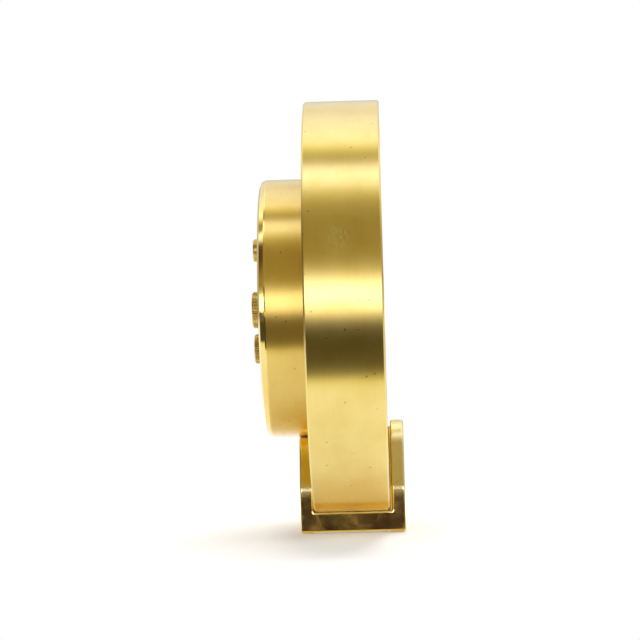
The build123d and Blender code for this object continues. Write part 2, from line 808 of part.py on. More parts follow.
back_cover -= at(cell_x, cell_z, disc(cap_spigot_radius + cap_fit, under_cover, over_back))


def cap_lugs(width, spare):
    """Two bayonet lugs on opposite sides of the cap's spigot, as a flat sketch."""
    half = radians(cap_lug_angle / 2) + spare / cap_spigot_radius
    outer = cap_spigot_radius + width
    wide = 2 * outer * cos(half)
    high = 2 * outer * sin(half)
    wedge = make_face(Polyline((0, 0), (wide, high), (wide, -high), close=True))
    lug = wedge & Circle(outer)
    return lug + Rot(0, 0, 180) * lug


notch_sketch = cap_lugs(cap_lug_width + cap_fit, 3 * cap_fit)
notch = slab(notch_sketch, under_cover, cover_front + ledge_thickness + cap_fit)
back_cover -= at(cell_x, cell_z, Rot(0, -cap_turn, 0) * notch)
buzzer_x, buzzer_z = around(buzzer_circle, buzzer_angle)
sound_hole = disc(sound_hole_radius, under_cover, over_back)
back_cover -= at(buzzer_x, buzzer_z, sound_hole)
for index in range(sound_hole_count):
    x, z = around(sound_hole_circle, index * 360 / sound_hole_count)
    back_cover -= at(buzzer_x + x, buzzer_z + z, sound_hole)
save("back_cover", back_cover)

# Battery cap: turned with a coin until its lugs come free of the ledge
cap_back = housing_back - cap_sunk
cap_disc_front = cap_back - cap_disc_thickness
lug_top = cover_front - cap_fit
lug_bottom = lug_top - cap_spigot_depth
battery_cap = disc(cap_radius, cap_disc_front, cap_back)
battery_cap += disc(cap_spigot_radius, lug_bottom, cap_disc_front)
battery_cap += slab(cap_lugs(cap_lug_width, 0), lug_bottom, lug_top)
coin_slot = Pos(0, cap_back, 0) * Box(coin_slot_length, 2 * coin_slot_depth, coin_slot_width)
battery_cap -= coin_slot
save("battery_cap", at(cell_x, cell_z, battery_cap))

# Battery cell, its cup-shaped holder and the two contacts
cell_back = lug_bottom - cap_fit
cell_front = cell_back - cell_height
cell_shoulder = cell_radius - cell_step_width
battery_cell = turned(
    (0, cell_front), (cell_shoulder, cell_front), (cell_shoulder, cell_front + cell_step),
    (cell_radius, cell_front + cell_step), (cell_radius, cell_back - cell_edge),
    (cell_radius - cell_edge, cell_back), (0, cell_back),
)
save("battery_cell", at(cell_x, cell_z, battery_cell))
floor_back = cell_front - contact_spring_height
floor_front = floor_back - holder_floor
battery_holder = disc(holder_radius, floor_front, cell_back - holder_fit)
battery_holder -= disc(holder_bore, floor_back, cell_back)
side_strip_x = cell_radius + contact_gap + contact_thickness / 2
side_slot = Rectangle(contact_thickness + 2 * screw_fit, contact_width + 2 * screw_fit)
tail_slot = Rectangle(contact_width + 2 * screw_fit, contact_thickness + 2 * screw_fit)
battery_holder -= slab(Pos(-side_strip_x, 0) * side_slot, floor_front - overcut, floor_back + overcut)
battery_holder -= slab(Pos(0, -leaf_radius) * tail_slot, floor_front - overcut, floor_back + overcut)
save("battery_holder", at(cell_x, cell_z, battery_holder))
strip = slab(Pos(-side_strip_x, 0) * Rectangle(contact_thickness, contact_width),
             floor_front - contact_tail, cell_back - 2 * holder_fit)
save("positive_contact", at(cell_x, cell_z, strip))
leaf_top = cell_front
leaf = disc(leaf_radius, leaf_top - contact_thickness, leaf_top)
leaf_tail = slab(Pos(0, -leaf_radius) * Rectangle(contact_width, contact_thickness),
                 floor_front - contact_tail, leaf_top)
negative_contact = leaf + leaf_tail
save("negative_contact", at(cell_x, cell_z, negative_contact))

# Main plate: carries the dial, the pillars and the front pivots
main_plate_radius = housing_radius - fixed_fit
main_plate = disc(main_plate_radius, main_plate_front, main_plate_back)
train_spots = ((third_x, third_z), (intermediate_x, intermediate_z), (rotor_x, rotor_z))


def bored(plate, spots, radius, front, back):
    """The plate with a round hole at each spot, running past both depths."""
    for x, z in spots:
        plate = plate - at(x, z, disc(radius, front - overcut, back + overcut))
    return plate


for spots, radius in (
    ([(0, 0)], minute_pipe_radius + running_fit),
    ([(setting_x, setting_z)], setting_arbor_radius + running_fit),
    ([(0, -alarm_knob_drop)], alarm_arbor_radius + running_fit),
    (train_spots, pivot_hole),
    (dial_feet_spots, dial_foot_radius + fixed_fit),
    (lug_spots, plate_screw_radius + screw_fit),
):
    main_plate = bored(main_plate, spots, radius, main_plate_front, main_plate_back)
save("main_plate", main_plate)
movement_screw_length = plate_thickness + movement_screw_grip
movement_screw = forward * pan_screw(plate_screw_radius, movement_screw_length, -main_plate_front)
save("movement_screws", *[at(x, z, movement_screw) for x, z in lug_spots])

# Movement plate: the rear plate, cut away round the battery holder
pillar_spots = [around(pillar_circle, angle) for angle in pillar_angles]
movement_plate = disc(movement_plate_radius, movement_plate_front, movement_plate_back)
for spots, radius in (
    ([(cell_x, cell_z)], holder_radius + fixed_fit),
    ([(0, 0)], seconds_arbor_radius + running_fit),
    ([(setting_x, setting_z)], setting_arbor_radius + running_fit),
    ([(0, -alarm_knob_drop)], alarm_arbor_radius + running_fit),
    (train_spots, pivot_hole),
    (pillar_spots, plate_screw_radius + screw_fit),
):
    movement_plate = bored(movement_plate, spots, radius, movement_plate_front, movement_plate_back)
time_bearing_front = seconds_arbor_back + level_gap / 2
movement_plate -= disc(time_arbor_radius + running_fit, time_bearing_front, movement_plate_back + overcut)
save("movement_plate", movement_plate)

# Pillars between the plates and the screws in their ends
plate_screw_length = plate_thickness + plate_screw_grip
pillar_hole_end = movement_plate_back - plate_screw_length - blind_floor
pillar = disc(pillar_radius, main_plate_back, movement_plate_front)
pillar -= disc(plate_screw_radius + screw_fit, pillar_hole_end, movement_plate_back)
save("pillars", *[at(x, z, pillar) for x, z in pillar_spots])
plate_screw = pan_screw(plate_screw_radius, plate_screw_length, movement_plate_back)
save("plate_screws", *[at(x, z, plate_screw) for x, z in pillar_spots])

# Stepping motor's stator: two arms from the rotor to the ends of the coil's core
stator_front = (magnet_front + magnet_back - stator_thickness) / 2
stator_back = stator_front + stator_thickness
stator_bore = magnet_radius + magnet_gap
stator_ring = stator_bore + stator_ring_width
cheek_end = coil_length / 2 + coil_cheek_thickness
arm_low = cheek_end + coil_clearance
arm_high = arm_low + stator_arm_width
coil_z = rotor_z
arm_reach = coil_x - rotor_x
arm_inside = arm_reach - coil_radius - coil_cheek_rim - coil_clearance
arm_outside = arm_reach + coil_core_size
slot_edge = stator_slot / 2
stator_sketch = Circle(stator_ring)
for side in (-1, 1):
    arm = Polyline(
        (0, side * slot_edge), (0, side * stator_ring), (arm_inside, side * arm_high),
        (arm_outside, side * arm_high), (arm_outside, side * arm_low), (arm_inside, side * arm_low),
        (arm_inside, side * slot_edge), close=True,
    )
    stator_sketch += make_face(arm)
stator_sketch -= Circle(stator_bore)
stator = slab(stator_sketch, stator_front, stator_back)
save("stator", at(rotor_x, rotor_z, stator))

# Coil: winding between two cheeks on a square core whose ends lie on the stator's arms
core_front = stator_back
core_middle = core_front + coil_core_size / 2
coil_core = Pos(0, core_middle, 0) * Box(coil_core_size, coil_core_size, 2 * arm_high)
save("coil_core", at(coil_x, coil_z, coil_core))
coil = Pos(0, core_middle, 0) * Cylinder(coil_radius, coil_length)
for side in (-1, 1):
    cheek = Cylinder(coil_radius + coil_cheek_rim, coil_cheek_thickness)
    coil += Pos(0, core_middle, side * (coil_length + coil_cheek_thickness) / 2) * cheek
coil -= Pos(0, core_middle, 0) * Box(coil_core_size, coil_core_size, 3 * arm_high)
save("coil", at(coil_x, coil_z, coil))

# Circuit board: a sector beside the wheels, with the chip, the crystal and the buzzer in front of it
board_back = movement_plate_front - board_to_plate
board_front = board_back - board_thickness
sector_reach = 3 * board_outer_radius
sector_points = [(0, 0)]
for angle in (board_start_angle, (board_start_angle + board_end_angle) / 2, board_end_angle):
    sector_points.append(around(sector_reach, angle))
board_sketch = Circle(board_outer_radius) - Circle(board_inner_radius)
board_sketch = board_sketch & make_face(Polyline(*sector_points, close=True))
circuit_board = slab(board_sketch, board_front, board_back)
circuit_board = bored(circuit_board, pillar_spots, pillar_radius + screw_fit, board_front, board_back)
save("circuit_board", circuit_board)
chip_x, chip_z = around(chip_circle, chip_angle)
clock_chip = slab(Rectangle(chip_size, chip_size), board_front - chip_height, board_front)
save("clock_chip", at(chip_x, chip_z, clock_chip))
crystal_x, crystal_z = around(crystal_circle, crystal_angle)
crystal = Pos(0, board_front - crystal_radius, 0) * Cylinder(crystal_radius, crystal_length)
save("quartz_crystal", at(crystal_x, crystal_z, crystal))
buzzer_front = board_front - buzzer_height
buzzer = disc(buzzer_radius, buzzer_front, board_front)
buzzer -= disc(buzzer_port_radius, buzzer_front - overcut, buzzer_front + buzzer_port_depth)
save("buzzer", at(buzzer_x, buzzer_z, buzzer))

# Foot: a U-shaped cradle, hollowed to seat the drum. Its tabs taper from a square base to a
# round top, and the rear tab is scooped to clear the housing.
foot_base = Rectangle(foot_width, foot_shoulder_height - foot_bottom)
foot_base = Pos(0, (foot_bottom + foot_shoulder_height) / 2) * foot_base
tab_top = Pos(0, foot_front_height - foot_tab_radius) * Circle(foot_tab_radius)
foot_outline = make_hull(foot_base.edges() + tab_top.edges())
touch = 1e-6
shoulders = [v for v in foot_outline.vertices() if abs(v.Y - foot_shoulder_height) < touch]
foot_outline = fillet(shoulders, foot_shoulder_round)
drum_seat = disc(drum_radius, foot_front_inner, foot_rear_inner)
drum_seat = fillet(drum_seat.edges().filter_by(GeomType.CIRCLE), foot_inner_corner)
foot = slab(foot_outline, foot_front_outer, foot_rear_outer) - Pos(0, 0, drum_height) * drum_seat
foot = fillet(foot.edges(), foot_edge_round)
scoop = Pos(0, 0, drum_height) * disc(housing_radius + foot_scoop_gap, 0, foot_rear_outer + overcut)
foot -= scoop
pad_recess_height = foot_pad_thickness - foot_pad_proud
pad_ceiling = foot_bottom + pad_recess_height
pad_width = foot_width - 2 * foot_pad_margin
pad_depth = 2 * (foot_rear_outer - foot_pad_margin)
recess_side = foot_pad_margin - fixed_fit
foot -= Pos(0, 0, pad_ceiling - pad_recess_height) * Box(
    foot_width - 2 * recess_side, 2 * (foot_rear_outer - recess_side), 2 * pad_recess_height)
downward = Rot(-90, 0, 0)
foot_screw_length = drum_wall + foot_top - pad_ceiling + foot_screw_reach
for row in foot_screw_rows:
    foot -= Pos(0, row, pad_ceiling) * downward * sunk_hole(foot_screw_radius, foot_screw_length, 0)
write("foot", foot)
write("foot_pad", Pos(0, 0, foot_pad_thickness / 2) * Box(pad_width, pad_depth, foot_pad_thickness))
foot_screw = downward * sunk_screw(foot_screw_radius, foot_screw_length, 0)
write("foot_screws", *[Pos(0, row, pad_ceiling) * foot_screw for row in foot_screw_rows])

# Foot block: the threaded block inside the drum that the foot screws pull against
block_low = -bore_radius - overcut
block_high = -bore_radius + foot_block_height
foot_block = Pos(0, 0, (block_low + block_high) / 2) * Box(
    foot_block_width, foot_block_depth, block_high - block_low)
foot_block = foot_block & disc(bore_radius, front_plate_back, back_plate_front)
block_bore_reach = drum_wall + foot_screw_reach + lug_floor
for row in foot_screw_rows:
    bore = Cylinder(foot_screw_radius + screw_fit, 2 * block_bore_reach)
    foot_block -= Pos(0, row, -drum_radius) * bore
save("foot_block", foot_block)
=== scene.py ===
import math
import random

import bmesh
import bpy
from mathutils import Matrix, Vector


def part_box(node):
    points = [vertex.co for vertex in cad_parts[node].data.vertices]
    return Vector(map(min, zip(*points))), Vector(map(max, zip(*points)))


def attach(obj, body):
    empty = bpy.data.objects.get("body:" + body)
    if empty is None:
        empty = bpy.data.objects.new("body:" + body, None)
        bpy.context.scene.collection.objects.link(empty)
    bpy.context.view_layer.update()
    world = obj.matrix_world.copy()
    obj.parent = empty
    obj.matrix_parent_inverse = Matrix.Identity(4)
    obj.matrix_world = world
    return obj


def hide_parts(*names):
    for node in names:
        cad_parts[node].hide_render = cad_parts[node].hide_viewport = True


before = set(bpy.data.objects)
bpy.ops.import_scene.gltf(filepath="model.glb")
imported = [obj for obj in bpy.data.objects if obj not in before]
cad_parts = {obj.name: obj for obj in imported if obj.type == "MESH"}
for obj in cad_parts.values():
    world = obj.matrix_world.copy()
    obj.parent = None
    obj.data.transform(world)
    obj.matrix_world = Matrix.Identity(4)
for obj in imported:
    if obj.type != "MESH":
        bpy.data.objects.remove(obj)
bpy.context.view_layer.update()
bpy.context.scene.view_settings.view_transform = "Standard"

# The studio: a photographer's seamless white sweep under a broad overhead softbox. The room
# behind the lens is dim and brown, with a tall white screen on each side of it, so that the
# turned brass shows one dark band between bright ones. Bands are angles up from the lens side.
warm_shade = (1.0, 0.86, 0.40)
cool_light = (1.0, 1.08, 1.27)
screen_light = (1.0, 1.08, 1.60)
half_light = (1.0, 0.98, 0.85)
edge_light = (1.0, 0.96, 0.42)
amber_light = (1.0, 0.86, 0.10)
studio_bands = (
    (-180, 0.45, half_light),
    (-150, 0.62, half_light),
    (-123, 0.90, cool_light),
    (-89, 1.05, cool_light),
    (-46, 1.08, cool_light),
    (-40, 0.30, warm_shade),
    (-32, 0.08, warm_shade),
    (-12, 0.08, warm_shade),
    (-6.5, 0.30, warm_shade),
    (-3.4, 1.55, half_light),
    (1.4, 3.40, screen_light),
    (12, 3.40, screen_light),
    (18, 0.84, edge_light),
    (25, 0.38, warm_shade),
    (50, 0.345, warm_shade),
    (61, 0.46, warm_shade),
    (66, 0.76, edge_light),
    (71, 1.30, cool_light),
    (75, 1.80, screen_light),
    (82, 1.76, screen_light),
    (86, 0.46, edge_light),
    (93, 0.36, amber_light),
    (98, 1.02, edge_light),
    (103, 1.50, cool_light),
    (112, 1.32, cool_light),
    (124, 1.20, cool_light),
    (137, 0.98, half_light),
    (152, 0.92, half_light),
    (180, 0.45, half_light),
)
side_levels = ((-90, 0.95), (-12, 0.85), (4, 0.45), (28, 0.55), (45, 1.15), (70, 1.25), (90, 1.05))
screen_inner, screen_outer = 0.05, 0.13
gap_top, gap_top_ends = math.radians(17), math.radians(24)
gap_bottom, gap_bottom_ends = math.radians(-3), math.radians(-9)
lens_gap_colour = (0.040, 0.021, 0.024)
side_start, side_end = 0.76, 0.93
# The wing is a brown board past the clock's back. The bevel of the back cover mirrors it.
wing_colour = (0.115, 0.075, 0.030)
wing_near, wing_far = math.radians(52), math.radians(104)
wing_soft = math.radians(7)
wing_low, wing_high = math.radians(-8), math.radians(44)
fill_colour = (1.0, 0.99, 0.97)
fill_strength = 0.55


def put(tree, kind, inputs=None, **settings):
    """Adds a shader node. An input is a plain value, or the socket that feeds it."""
    made = tree.nodes.new("ShaderNode" + kind)
    for name, value in settings.items():
        setattr(made, name, value)
    for name, value in (inputs or {}).items():
        socket = made.inputs[name]
        if isinstance(value, bpy.types.NodeSocket):
            tree.links.new(value, socket)
        else:
            socket.default_value = value
    return made


def math_node(tree, operation, *values):
    """Adds a Math node and gives back its one output."""
    return put(tree, "Math", dict(enumerate(values)), operation=operation).outputs[0]


def ramp(tree, value, stops, interpolation="LINEAR"):
    """Adds a colour ramp through (place, colour) stops, with at least two of them."""
    made = put(tree, "ValToRGB", {"Fac": value})
    made.color_ramp.interpolation = interpolation
    elements = made.color_ramp.elements
    for count, (place, colour) in enumerate(stops):
        element = elements[count] if count < 2 else elements.new(place)
        element.position = place
        element.color = (*colour[:3], 1.0)
    return made.outputs["Color"]


def smooth_step(tree, value, low, high):
    """0 below low, 1 above high, eased between."""
    made = put(tree, "MapRange", {"Value": value, "From Min": low, "From Max": high},
               interpolation_type="SMOOTHSTEP")
    return made.outputs["Result"]


def mix_colour(tree, share, first, second):
    """Mixes two colours, each a plain colour or a socket."""
    plain = [(*part[:3], 1.0) if isinstance(part, tuple) else part for part in (first, second)]
    return put(tree, "Mix", {0: share, 6: plain[0], 7: plain[1]}, data_type="RGBA").outputs[2]


world = bpy.data.worlds.new("studio")
bpy.context.scene.world = world
world.use_nodes = True
air = world.node_tree
air.nodes.clear()
toward = put(air, "TexCoord").outputs["Generated"]
split = put(air, "SeparateXYZ", {0: toward})
to_lens = math_node(air, "MULTIPLY", split.outputs["X"], -1.0)
swing = math_node(air, "ARCTAN2", split.outputs["Z"], to_lens)
around = math_node(air, "MULTIPLY_ADD", swing, 0.5 / math.pi, 0.5)
brightest = max(level for angle, level, tint in studio_bands)
band = ramp(air, around, [((angle + 180) / 360, tuple(level / brightest * part for part in tint))
                          for angle, level, tint in studio_bands])
sideways = math_node(air, "ABSOLUTE", split.outputs["Y"])
low_band = math_node(air, "MULTIPLY", smooth_step(air, swing, gap_top_ends, gap_top),
                     smooth_step(air, swing, gap_bottom_ends, gap_bottom))
gap = math_node(air, "MULTIPLY", low_band,
                smooth_step(air, sideways, screen_outer, screen_inner))
gap_colour = tuple(part / brightest for part in lens_gap_colour)
height = math_node(air, "ARCSINE", split.outputs["Z"])
height_share = math_node(air, "MULTIPLY_ADD", height, 1 / math.pi, 0.5)
side_light = ramp(air, height_share, [((angle + 90) / 180, (level / brightest,) * 3)
                                      for angle, level in side_levels])
studio_light = mix_colour(air, smooth_step(air, sideways, side_start, side_end),
                          mix_colour(air, gap, band, gap_colour), side_light)
across = math_node(air, "ARCTAN2", split.outputs["Y"], to_lens)
wing = math_node(air, "MULTIPLY", smooth_step(air, across, wing_near, wing_near + wing_soft),
                 smooth_step(air, across, wing_far + wing_soft, wing_far))
wing = math_node(air, "MULTIPLY", wing, smooth_step(air, height, wing_high + wing_soft, wing_high))
wing = math_node(air, "MULTIPLY", wing, smooth_step(air, height, wing_low - wing_soft, wing_low))
studio_light = mix_colour(air, wing, studio_light,
                          tuple(part / brightest for part in wing_colour))
path = put(air, "LightPath").outputs
seen_in_metal = put(air, "Background", {"Color": studio_light, "Strength": brightest})
fill = put(air, "Background", {"Color": (*fill_colour, 1.0), "Strength": fill_strength})
backdrop = put(air, "Background", {"Color": (1.0, 1.0, 1.0, 1.0), "Strength": 1.0})
by_gloss = put(air, "MixShader", {0: path["Is Glossy Ray"], 1: fill.outputs[0],
                                  2: seen_in_metal.outputs[0]})
clear_view = math_node(air, "MAXIMUM", path["Is Camera Ray"], path["Is Transmission Ray"])
by_view = put(air, "MixShader", {0: clear_view, 1: by_gloss.outputs[0], 2: backdrop.outputs[0]})
put(air, "OutputWorld", {"Surface": by_view.outputs[0]})

# The sweep's floor: white card under the clock, lit from above. It keeps the clock's soft
# shadow near the foot and runs out into pure white further off. Card in front of the lens
# lies in the photographer's shade, which only shows as a reflection in the metal.
floor_half = 1.6
floor_cells = 8
card_white = (0.84, 0.815, 0.775)
card_fade_near, card_fade_far = 0.045, 0.17
card_share_near = 0.80
shade_from, shade_full = -0.0838, -0.0862
shade_ends, shade_gone = -0.36, -1.60
shade_half_width = 0.42
shade_full_share = 0.6
shade_colour = (0.085, 0.072, 0.034)
# Painted light that only the metal sees on the card: lit card, a pale fringe at the shade's edge,
# and brighter card far off.
lit_colour = (1.10, 1.19, 1.40)
fringe_colour = (1.06, 1.04, 0.55)
fringe_from, fringe_full = -0.072, -0.082
bright_floor = (2.5, 2.25, 1.1)
# Beside the lens side of the foot, card mirrored at a grazing angle is as dim as the room.
grazing_from, grazing_full = 0.80, 0.89
grazing_reach = 0.24
grazing_starts, grazing_whole = -0.011, -0.018
# The brown board's reflection is painted onto the card beside the back, seen only in the metal.
wing_card_from, wing_card_full = 0.28, 0.38
wing_card_ends, wing_card_whole = 0.30, 0.10
# A warm painted glow on the card close under the foot, standing in for light from the brass above,
# seen only in the metal.
under_glow = (0.84, 0.70, 0.34)
under_from, under_full = 0.032, 0.014
mirror_near, mirror_far = 0.02, 0.10
mirror_share_near = 0.6


def plain_material(name):
    """Makes an empty node material, and gives back it and its node tree."""
    made = bpy.data.materials.new(name)
    made.use_nodes = True
    made.node_tree.nodes.clear()
    return made, made.node_tree


card, tree = plain_material("sweep card")
spot = put(tree, "TexCoord").outputs["Object"]
parts = put(tree, "SeparateXYZ", {0: spot}).outputs
distance = put(tree, "VectorMath", {0: spot}, operation="LENGTH").outputs["Value"]
whiten = put(tree, "MapRange", {"Value": distance, "From Min": card_fade_near,
                                "From Max": card_fade_far, "To Min": 1 - card_share_near,
                                "To Max": 1.0}, interpolation_type="SMOOTHSTEP").outputs["Result"]
matt = put(tree, "BsdfDiffuse", {"Color": (*card_white, 1.0)})
white = put(tree, "Emission", {"Color": (1.0, 1.0, 1.0, 1.0), "Strength": 1.0})
seen = put(tree, "MixShader", {0: whiten, 1: matt.outputs[0], 2: white.outputs[0]})
within = smooth_step(tree, math_node(tree, "ABSOLUTE", parts["Y"]), shade_half_width,
                     shade_half_width * shade_full_share)
shaded = math_node(tree, "MULTIPLY", within, smooth_step(tree, parts["X"], shade_from, shade_full))
lit = mix_colour(tree, smooth_step(tree, parts["X"], fringe_from, fringe_full), lit_colour,
                 fringe_colour)
beyond = put(tree, "MapRange", {"Value": parts["X"], "From Min": shade_ends,
                                "From Max": shade_gone}).outputs["Result"]
mirror_colour = mix_colour(tree, beyond, mix_colour(tree, shaded, lit, shade_colour),
                           bright_floor)
wing_card = math_node(tree, "MULTIPLY",
                      smooth_step(tree, parts["Y"], wing_card_from, wing_card_full),
                      smooth_step(tree, parts["X"], wing_card_ends, wing_card_whole))
mirror_colour = mix_colour(tree, wing_card, mirror_colour, wing_colour)
mirror_colour = mix_colour(tree, smooth_step(tree, distance, under_from, under_full),
                           mirror_colour, under_glow)
skimmed = put(tree, "LayerWeight", {"Blend": 0.5}).outputs["Facing"]
skimmed = math_node(tree, "MULTIPLY", smooth_step(tree, skimmed, grazing_from, grazing_full),
                    math_node(tree, "LESS_THAN", distance, grazing_reach))
skimmed = math_node(tree, "MULTIPLY", skimmed,
                    smooth_step(tree, parts["X"], grazing_starts, grazing_whole))
mirrored = put(tree, "Emission", {"Color": mirror_colour, "Strength": 1.0})
near_share = put(tree, "MapRange", {"Value": distance, "From Min": mirror_near,
                                    "From Max": mirror_far, "To Min": mirror_share_near,
                                    "To Max": 1.0}).outputs["Result"]
in_metal = put(tree, "MixShader", {0: near_share, 1: matt.outputs[0], 2: mirrored.outputs[0]})
dim = put(tree, "Emission", {"Color": (*lens_gap_colour, 1.0), "Strength": 1.0})
in_metal = put(tree, "MixShader", {0: skimmed, 1: in_metal.outputs[0], 2: dim.outputs[0]})
path = put(tree, "LightPath").outputs
by_gloss = put(tree, "MixShader", {0: path["Is Glossy Ray"], 1: matt.outputs[0],
                                   2: in_metal.outputs[0]})
clear_view = math_node(tree, "MAXIMUM", path["Is Camera Ray"], path["Is Transmission Ray"])
by_view = put(tree, "MixShader", {0: clear_view, 1: by_gloss.outputs[0], 2: seen.outputs[0]})
put(tree, "OutputMaterial", {"Surface": by_view.outputs[0]})


def mesh_object(name, build, material):
    """Makes a mesh object from what build puts into a bmesh."""
    shape = bmesh.new()
    build(shape)
    data = bpy.data.meshes.new(name)
    shape.to_mesh(data)
    shape.free()
    made = bpy.data.objects.new(name, data)
    bpy.context.scene.collection.objects.link(made)
    data.materials.append(material)
    return made


floor = mesh_object("sweep_floor", lambda shape: bmesh.ops.create_grid(
    shape, x_segments=floor_cells, y_segments=floor_cells, size=floor_half), card)

# The lamps: a broad softbox overhead and a weaker one at each end of the clock. They light
# what isn't metal and cast the soft shadow on the floor.


def softbox(name, place, aim, width, depth, watts):
    """A soft area lamp that is kept out of the metal's reflections, which the studio gives."""
    lamp = bpy.data.lights.new(name, "AREA")
    lamp.shape = "RECTANGLE"
    lamp.size, lamp.size_y, lamp.energy = width, depth, watts
    made = bpy.data.objects.new(name, lamp)
    made.location = place
    made.rotation_euler = (Vector(aim) - Vector(place)).to_track_quat("-Z", "Y").to_euler()
    made.visible_glossy = False
    bpy.context.scene.collection.objects.link(made)
    return made


softbox("overhead_softbox", place=(0.34, -0.03, 0.66), aim=(0.0, 0.0, 0.04),
        width=0.50, depth=0.50, watts=6.5)
softbox("front_softbox", place=(-0.15, -0.70, 0.45), aim=(0.0, 0.0, 0.05),
        width=0.50, depth=0.40, watts=2.2)
softbox("back_softbox", place=(-0.15, 0.70, 0.45), aim=(0.0, 0.0, 0.05),
        width=0.50, depth=0.40, watts=1.6)

# The camera: a long lens on a tripod, level with the middle of the drum, half a metre off and
# square to the clock's edge. It leans a little, so that the drum's top stands left of its foot.
drum_low, drum_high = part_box("drum_ring")
axis_height = (drum_low.z + drum_high.z) / 2
camera_distance, camera_aside, camera_drop = 0.500, 0.00832, 0.00235
camera_place = Vector((-camera_distance, -camera_aside, axis_height - camera_drop))
camera_turn, camera_rise, camera_lean = 0.0287, -0.0004, 0.0279
camera_lens, sensor_width = 128.63, 36.0
lens = bpy.data.cameras.new("long_lens")
lens.lens, lens.sensor_width = camera_lens, sensor_width
lens.clip_start, lens.clip_end = 0.01, 10.0
camera = bpy.data.objects.new("camera", lens)
looking = Vector((math.cos(camera_turn) * math.cos(camera_rise),
                  math.sin(camera_turn) * math.cos(camera_rise), math.sin(camera_rise)))
turned = looking.to_track_quat("-Z", "Y").to_matrix().to_4x4()
camera.matrix_world = (Matrix.Translation(camera_place) @ turned
                       @ Matrix.Rotation(-camera_lean, 4, "Z"))
bpy.context.scene.collection.objects.link(camera)
bpy.context.scene.camera = camera

# The foot: a brass block milled to a cradle, with a tapered tab front and back, buffed to a
# mirror and lacquered. Low down, brown and reddish tarnish creeps in where the lacquer has worn.
MM = 0.001
brass = (0.87, 0.635, 0.165)
brass_deep = (0.82, 0.575, 0.125)
brass_pale = (0.91, 0.69, 0.21)
lacquer_ior = 1.5
spot_brown = (0.46, 0.17, 0.05)
worn_highlight_tone = (0.97, 0.83, 0.42)
seat_painted_light = (0.93, 0.92, 0.86)
tarnish_tone = (0.55, 0.20, 0.07)
rear_tab_painted_amber = (1.0, 0.60, 0.02)
worn_highlight_share, tarnish_share, rear_tab_amber_share, spot_share = 0.7, 0.9, 0.9, 0.5
satin_adds, tarnish_adds, tarnish_dulls = 0.20, 0.05, 0.45
tarnish_from, tarnish_whole = 0.49, 0.78
speck_jitter = 0.0006
seat_top, seat_whole = 5.2 * MM, 4.6 * MM
seat_from, seat_inset, seat_overrun = 0.02 * MM, 0.12 * MM, 0.5 * MM
side_from, side_whole = 0.7 * MM, 0.3 * MM
flank_from, flank_whole = 0.05 * MM, 0.3 * MM
rear_tab_amber_edge, rear_tab_amber_whole = 0.1 * MM, 0.5 * MM
foot_low, foot_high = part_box("foot")
side_face = foot_high.x
tabs_start = 9.8 * MM
tabs_whole = tabs_start + 1.5 * MM
satin_from = tabs_start - 3 * MM
stain_whole = tabs_start - 5 * MM


def group(name, inputs, *outputs):
    """Starts a shader group with (name, default) number inputs and named number outputs."""
    made = bpy.data.node_groups.new(name, "ShaderNodeTree")
    for label, default in inputs:
        socket = made.interface.new_socket(label, in_out="INPUT", socket_type="NodeSocketFloat")
        socket.default_value = default
    for label in outputs:
        made.interface.new_socket(label, in_out="OUTPUT", socket_type="NodeSocketFloat")
    return made, made.nodes.new("NodeGroupInput").outputs, made.nodes.new("NodeGroupOutput").inputs


def use(tree, made, **inputs):
    """Places a shader group with its values, and gives back its outputs."""
    placed = tree.nodes.new("ShaderNodeGroup")
    placed.node_tree = made
    for name, value in inputs.items():
        socket = placed.inputs[name.replace("_", " ").capitalize()]
        if isinstance(value, bpy.types.NodeSocket):
            tree.links.new(value, socket)
        else:
            socket.default_value = value
    return placed.outputs


specks, given, result = group(
    "specks", [("Per metre", 300.0), ("Size", 0.1), ("Share", 0.3)], "Mask")
spot = put(specks, "TexCoord").outputs["Object"]
bent = put(specks, "TexNoise", {"Vector": spot, "Scale": 900.0, "Detail": 2.0}).outputs["Color"]
jitter = put(specks, "VectorMath", {0: bent, 1: (speck_jitter,) * 3, 2: spot},
             operation="MULTIPLY_ADD").outputs[0]
cells = put(specks, "TexVoronoi", {"Vector": jitter, "Scale": given["Per metre"]})
picked = put(specks, "SeparateXYZ", {0: cells.outputs["Color"]}).outputs["X"]
chosen = math_node(specks, "LESS_THAN", picked, given["Share"])
half_size = math_node(specks, "MULTIPLY", given["Size"], 0.5)
dot = put(specks, "MapRange", {"Value": cells.outputs["Distance"], "From Min": given["Size"],
                               "From Max": half_size}).outputs["Result"]
specks.links.new(math_node(specks, "MULTIPLY", dot, chosen), result["Mask"])


def dress(material, *nodes):
    """Gives CAD nodes their finish."""
    for node in nodes:
        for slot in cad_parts[node].material_slots:
            slot.material = material


def clouded(tree, spot, first, second, scale, detail=3.0, starts=0.35):
    """Two close tones in soft clouds. Gives back the colour and the cloud itself."""
    cloud = put(tree, "TexNoise", {"Vector": spot, "Scale": scale, "Detail": detail}).outputs[0]
    return mix_colour(tree, smooth_step(tree, cloud, starts, 0.7), first, second), cloud


def tinted(tree, tone, mask, share, colour):
    """Lays a colour over a tone where the mask is 1, at the given share."""
    return mix_colour(tree, math_node(tree, "MULTIPLY", mask, share), tone, colour)


def varied(tree, value, low, high, least, most):
    """Spreads a roughness from least to most as a mask runs from low to high."""
    made = put(tree, "MapRange", {"Value": value, "From Min": low, "From Max": high,
                                  "To Min": least, "To Max": most})
    return made.outputs["Result"]


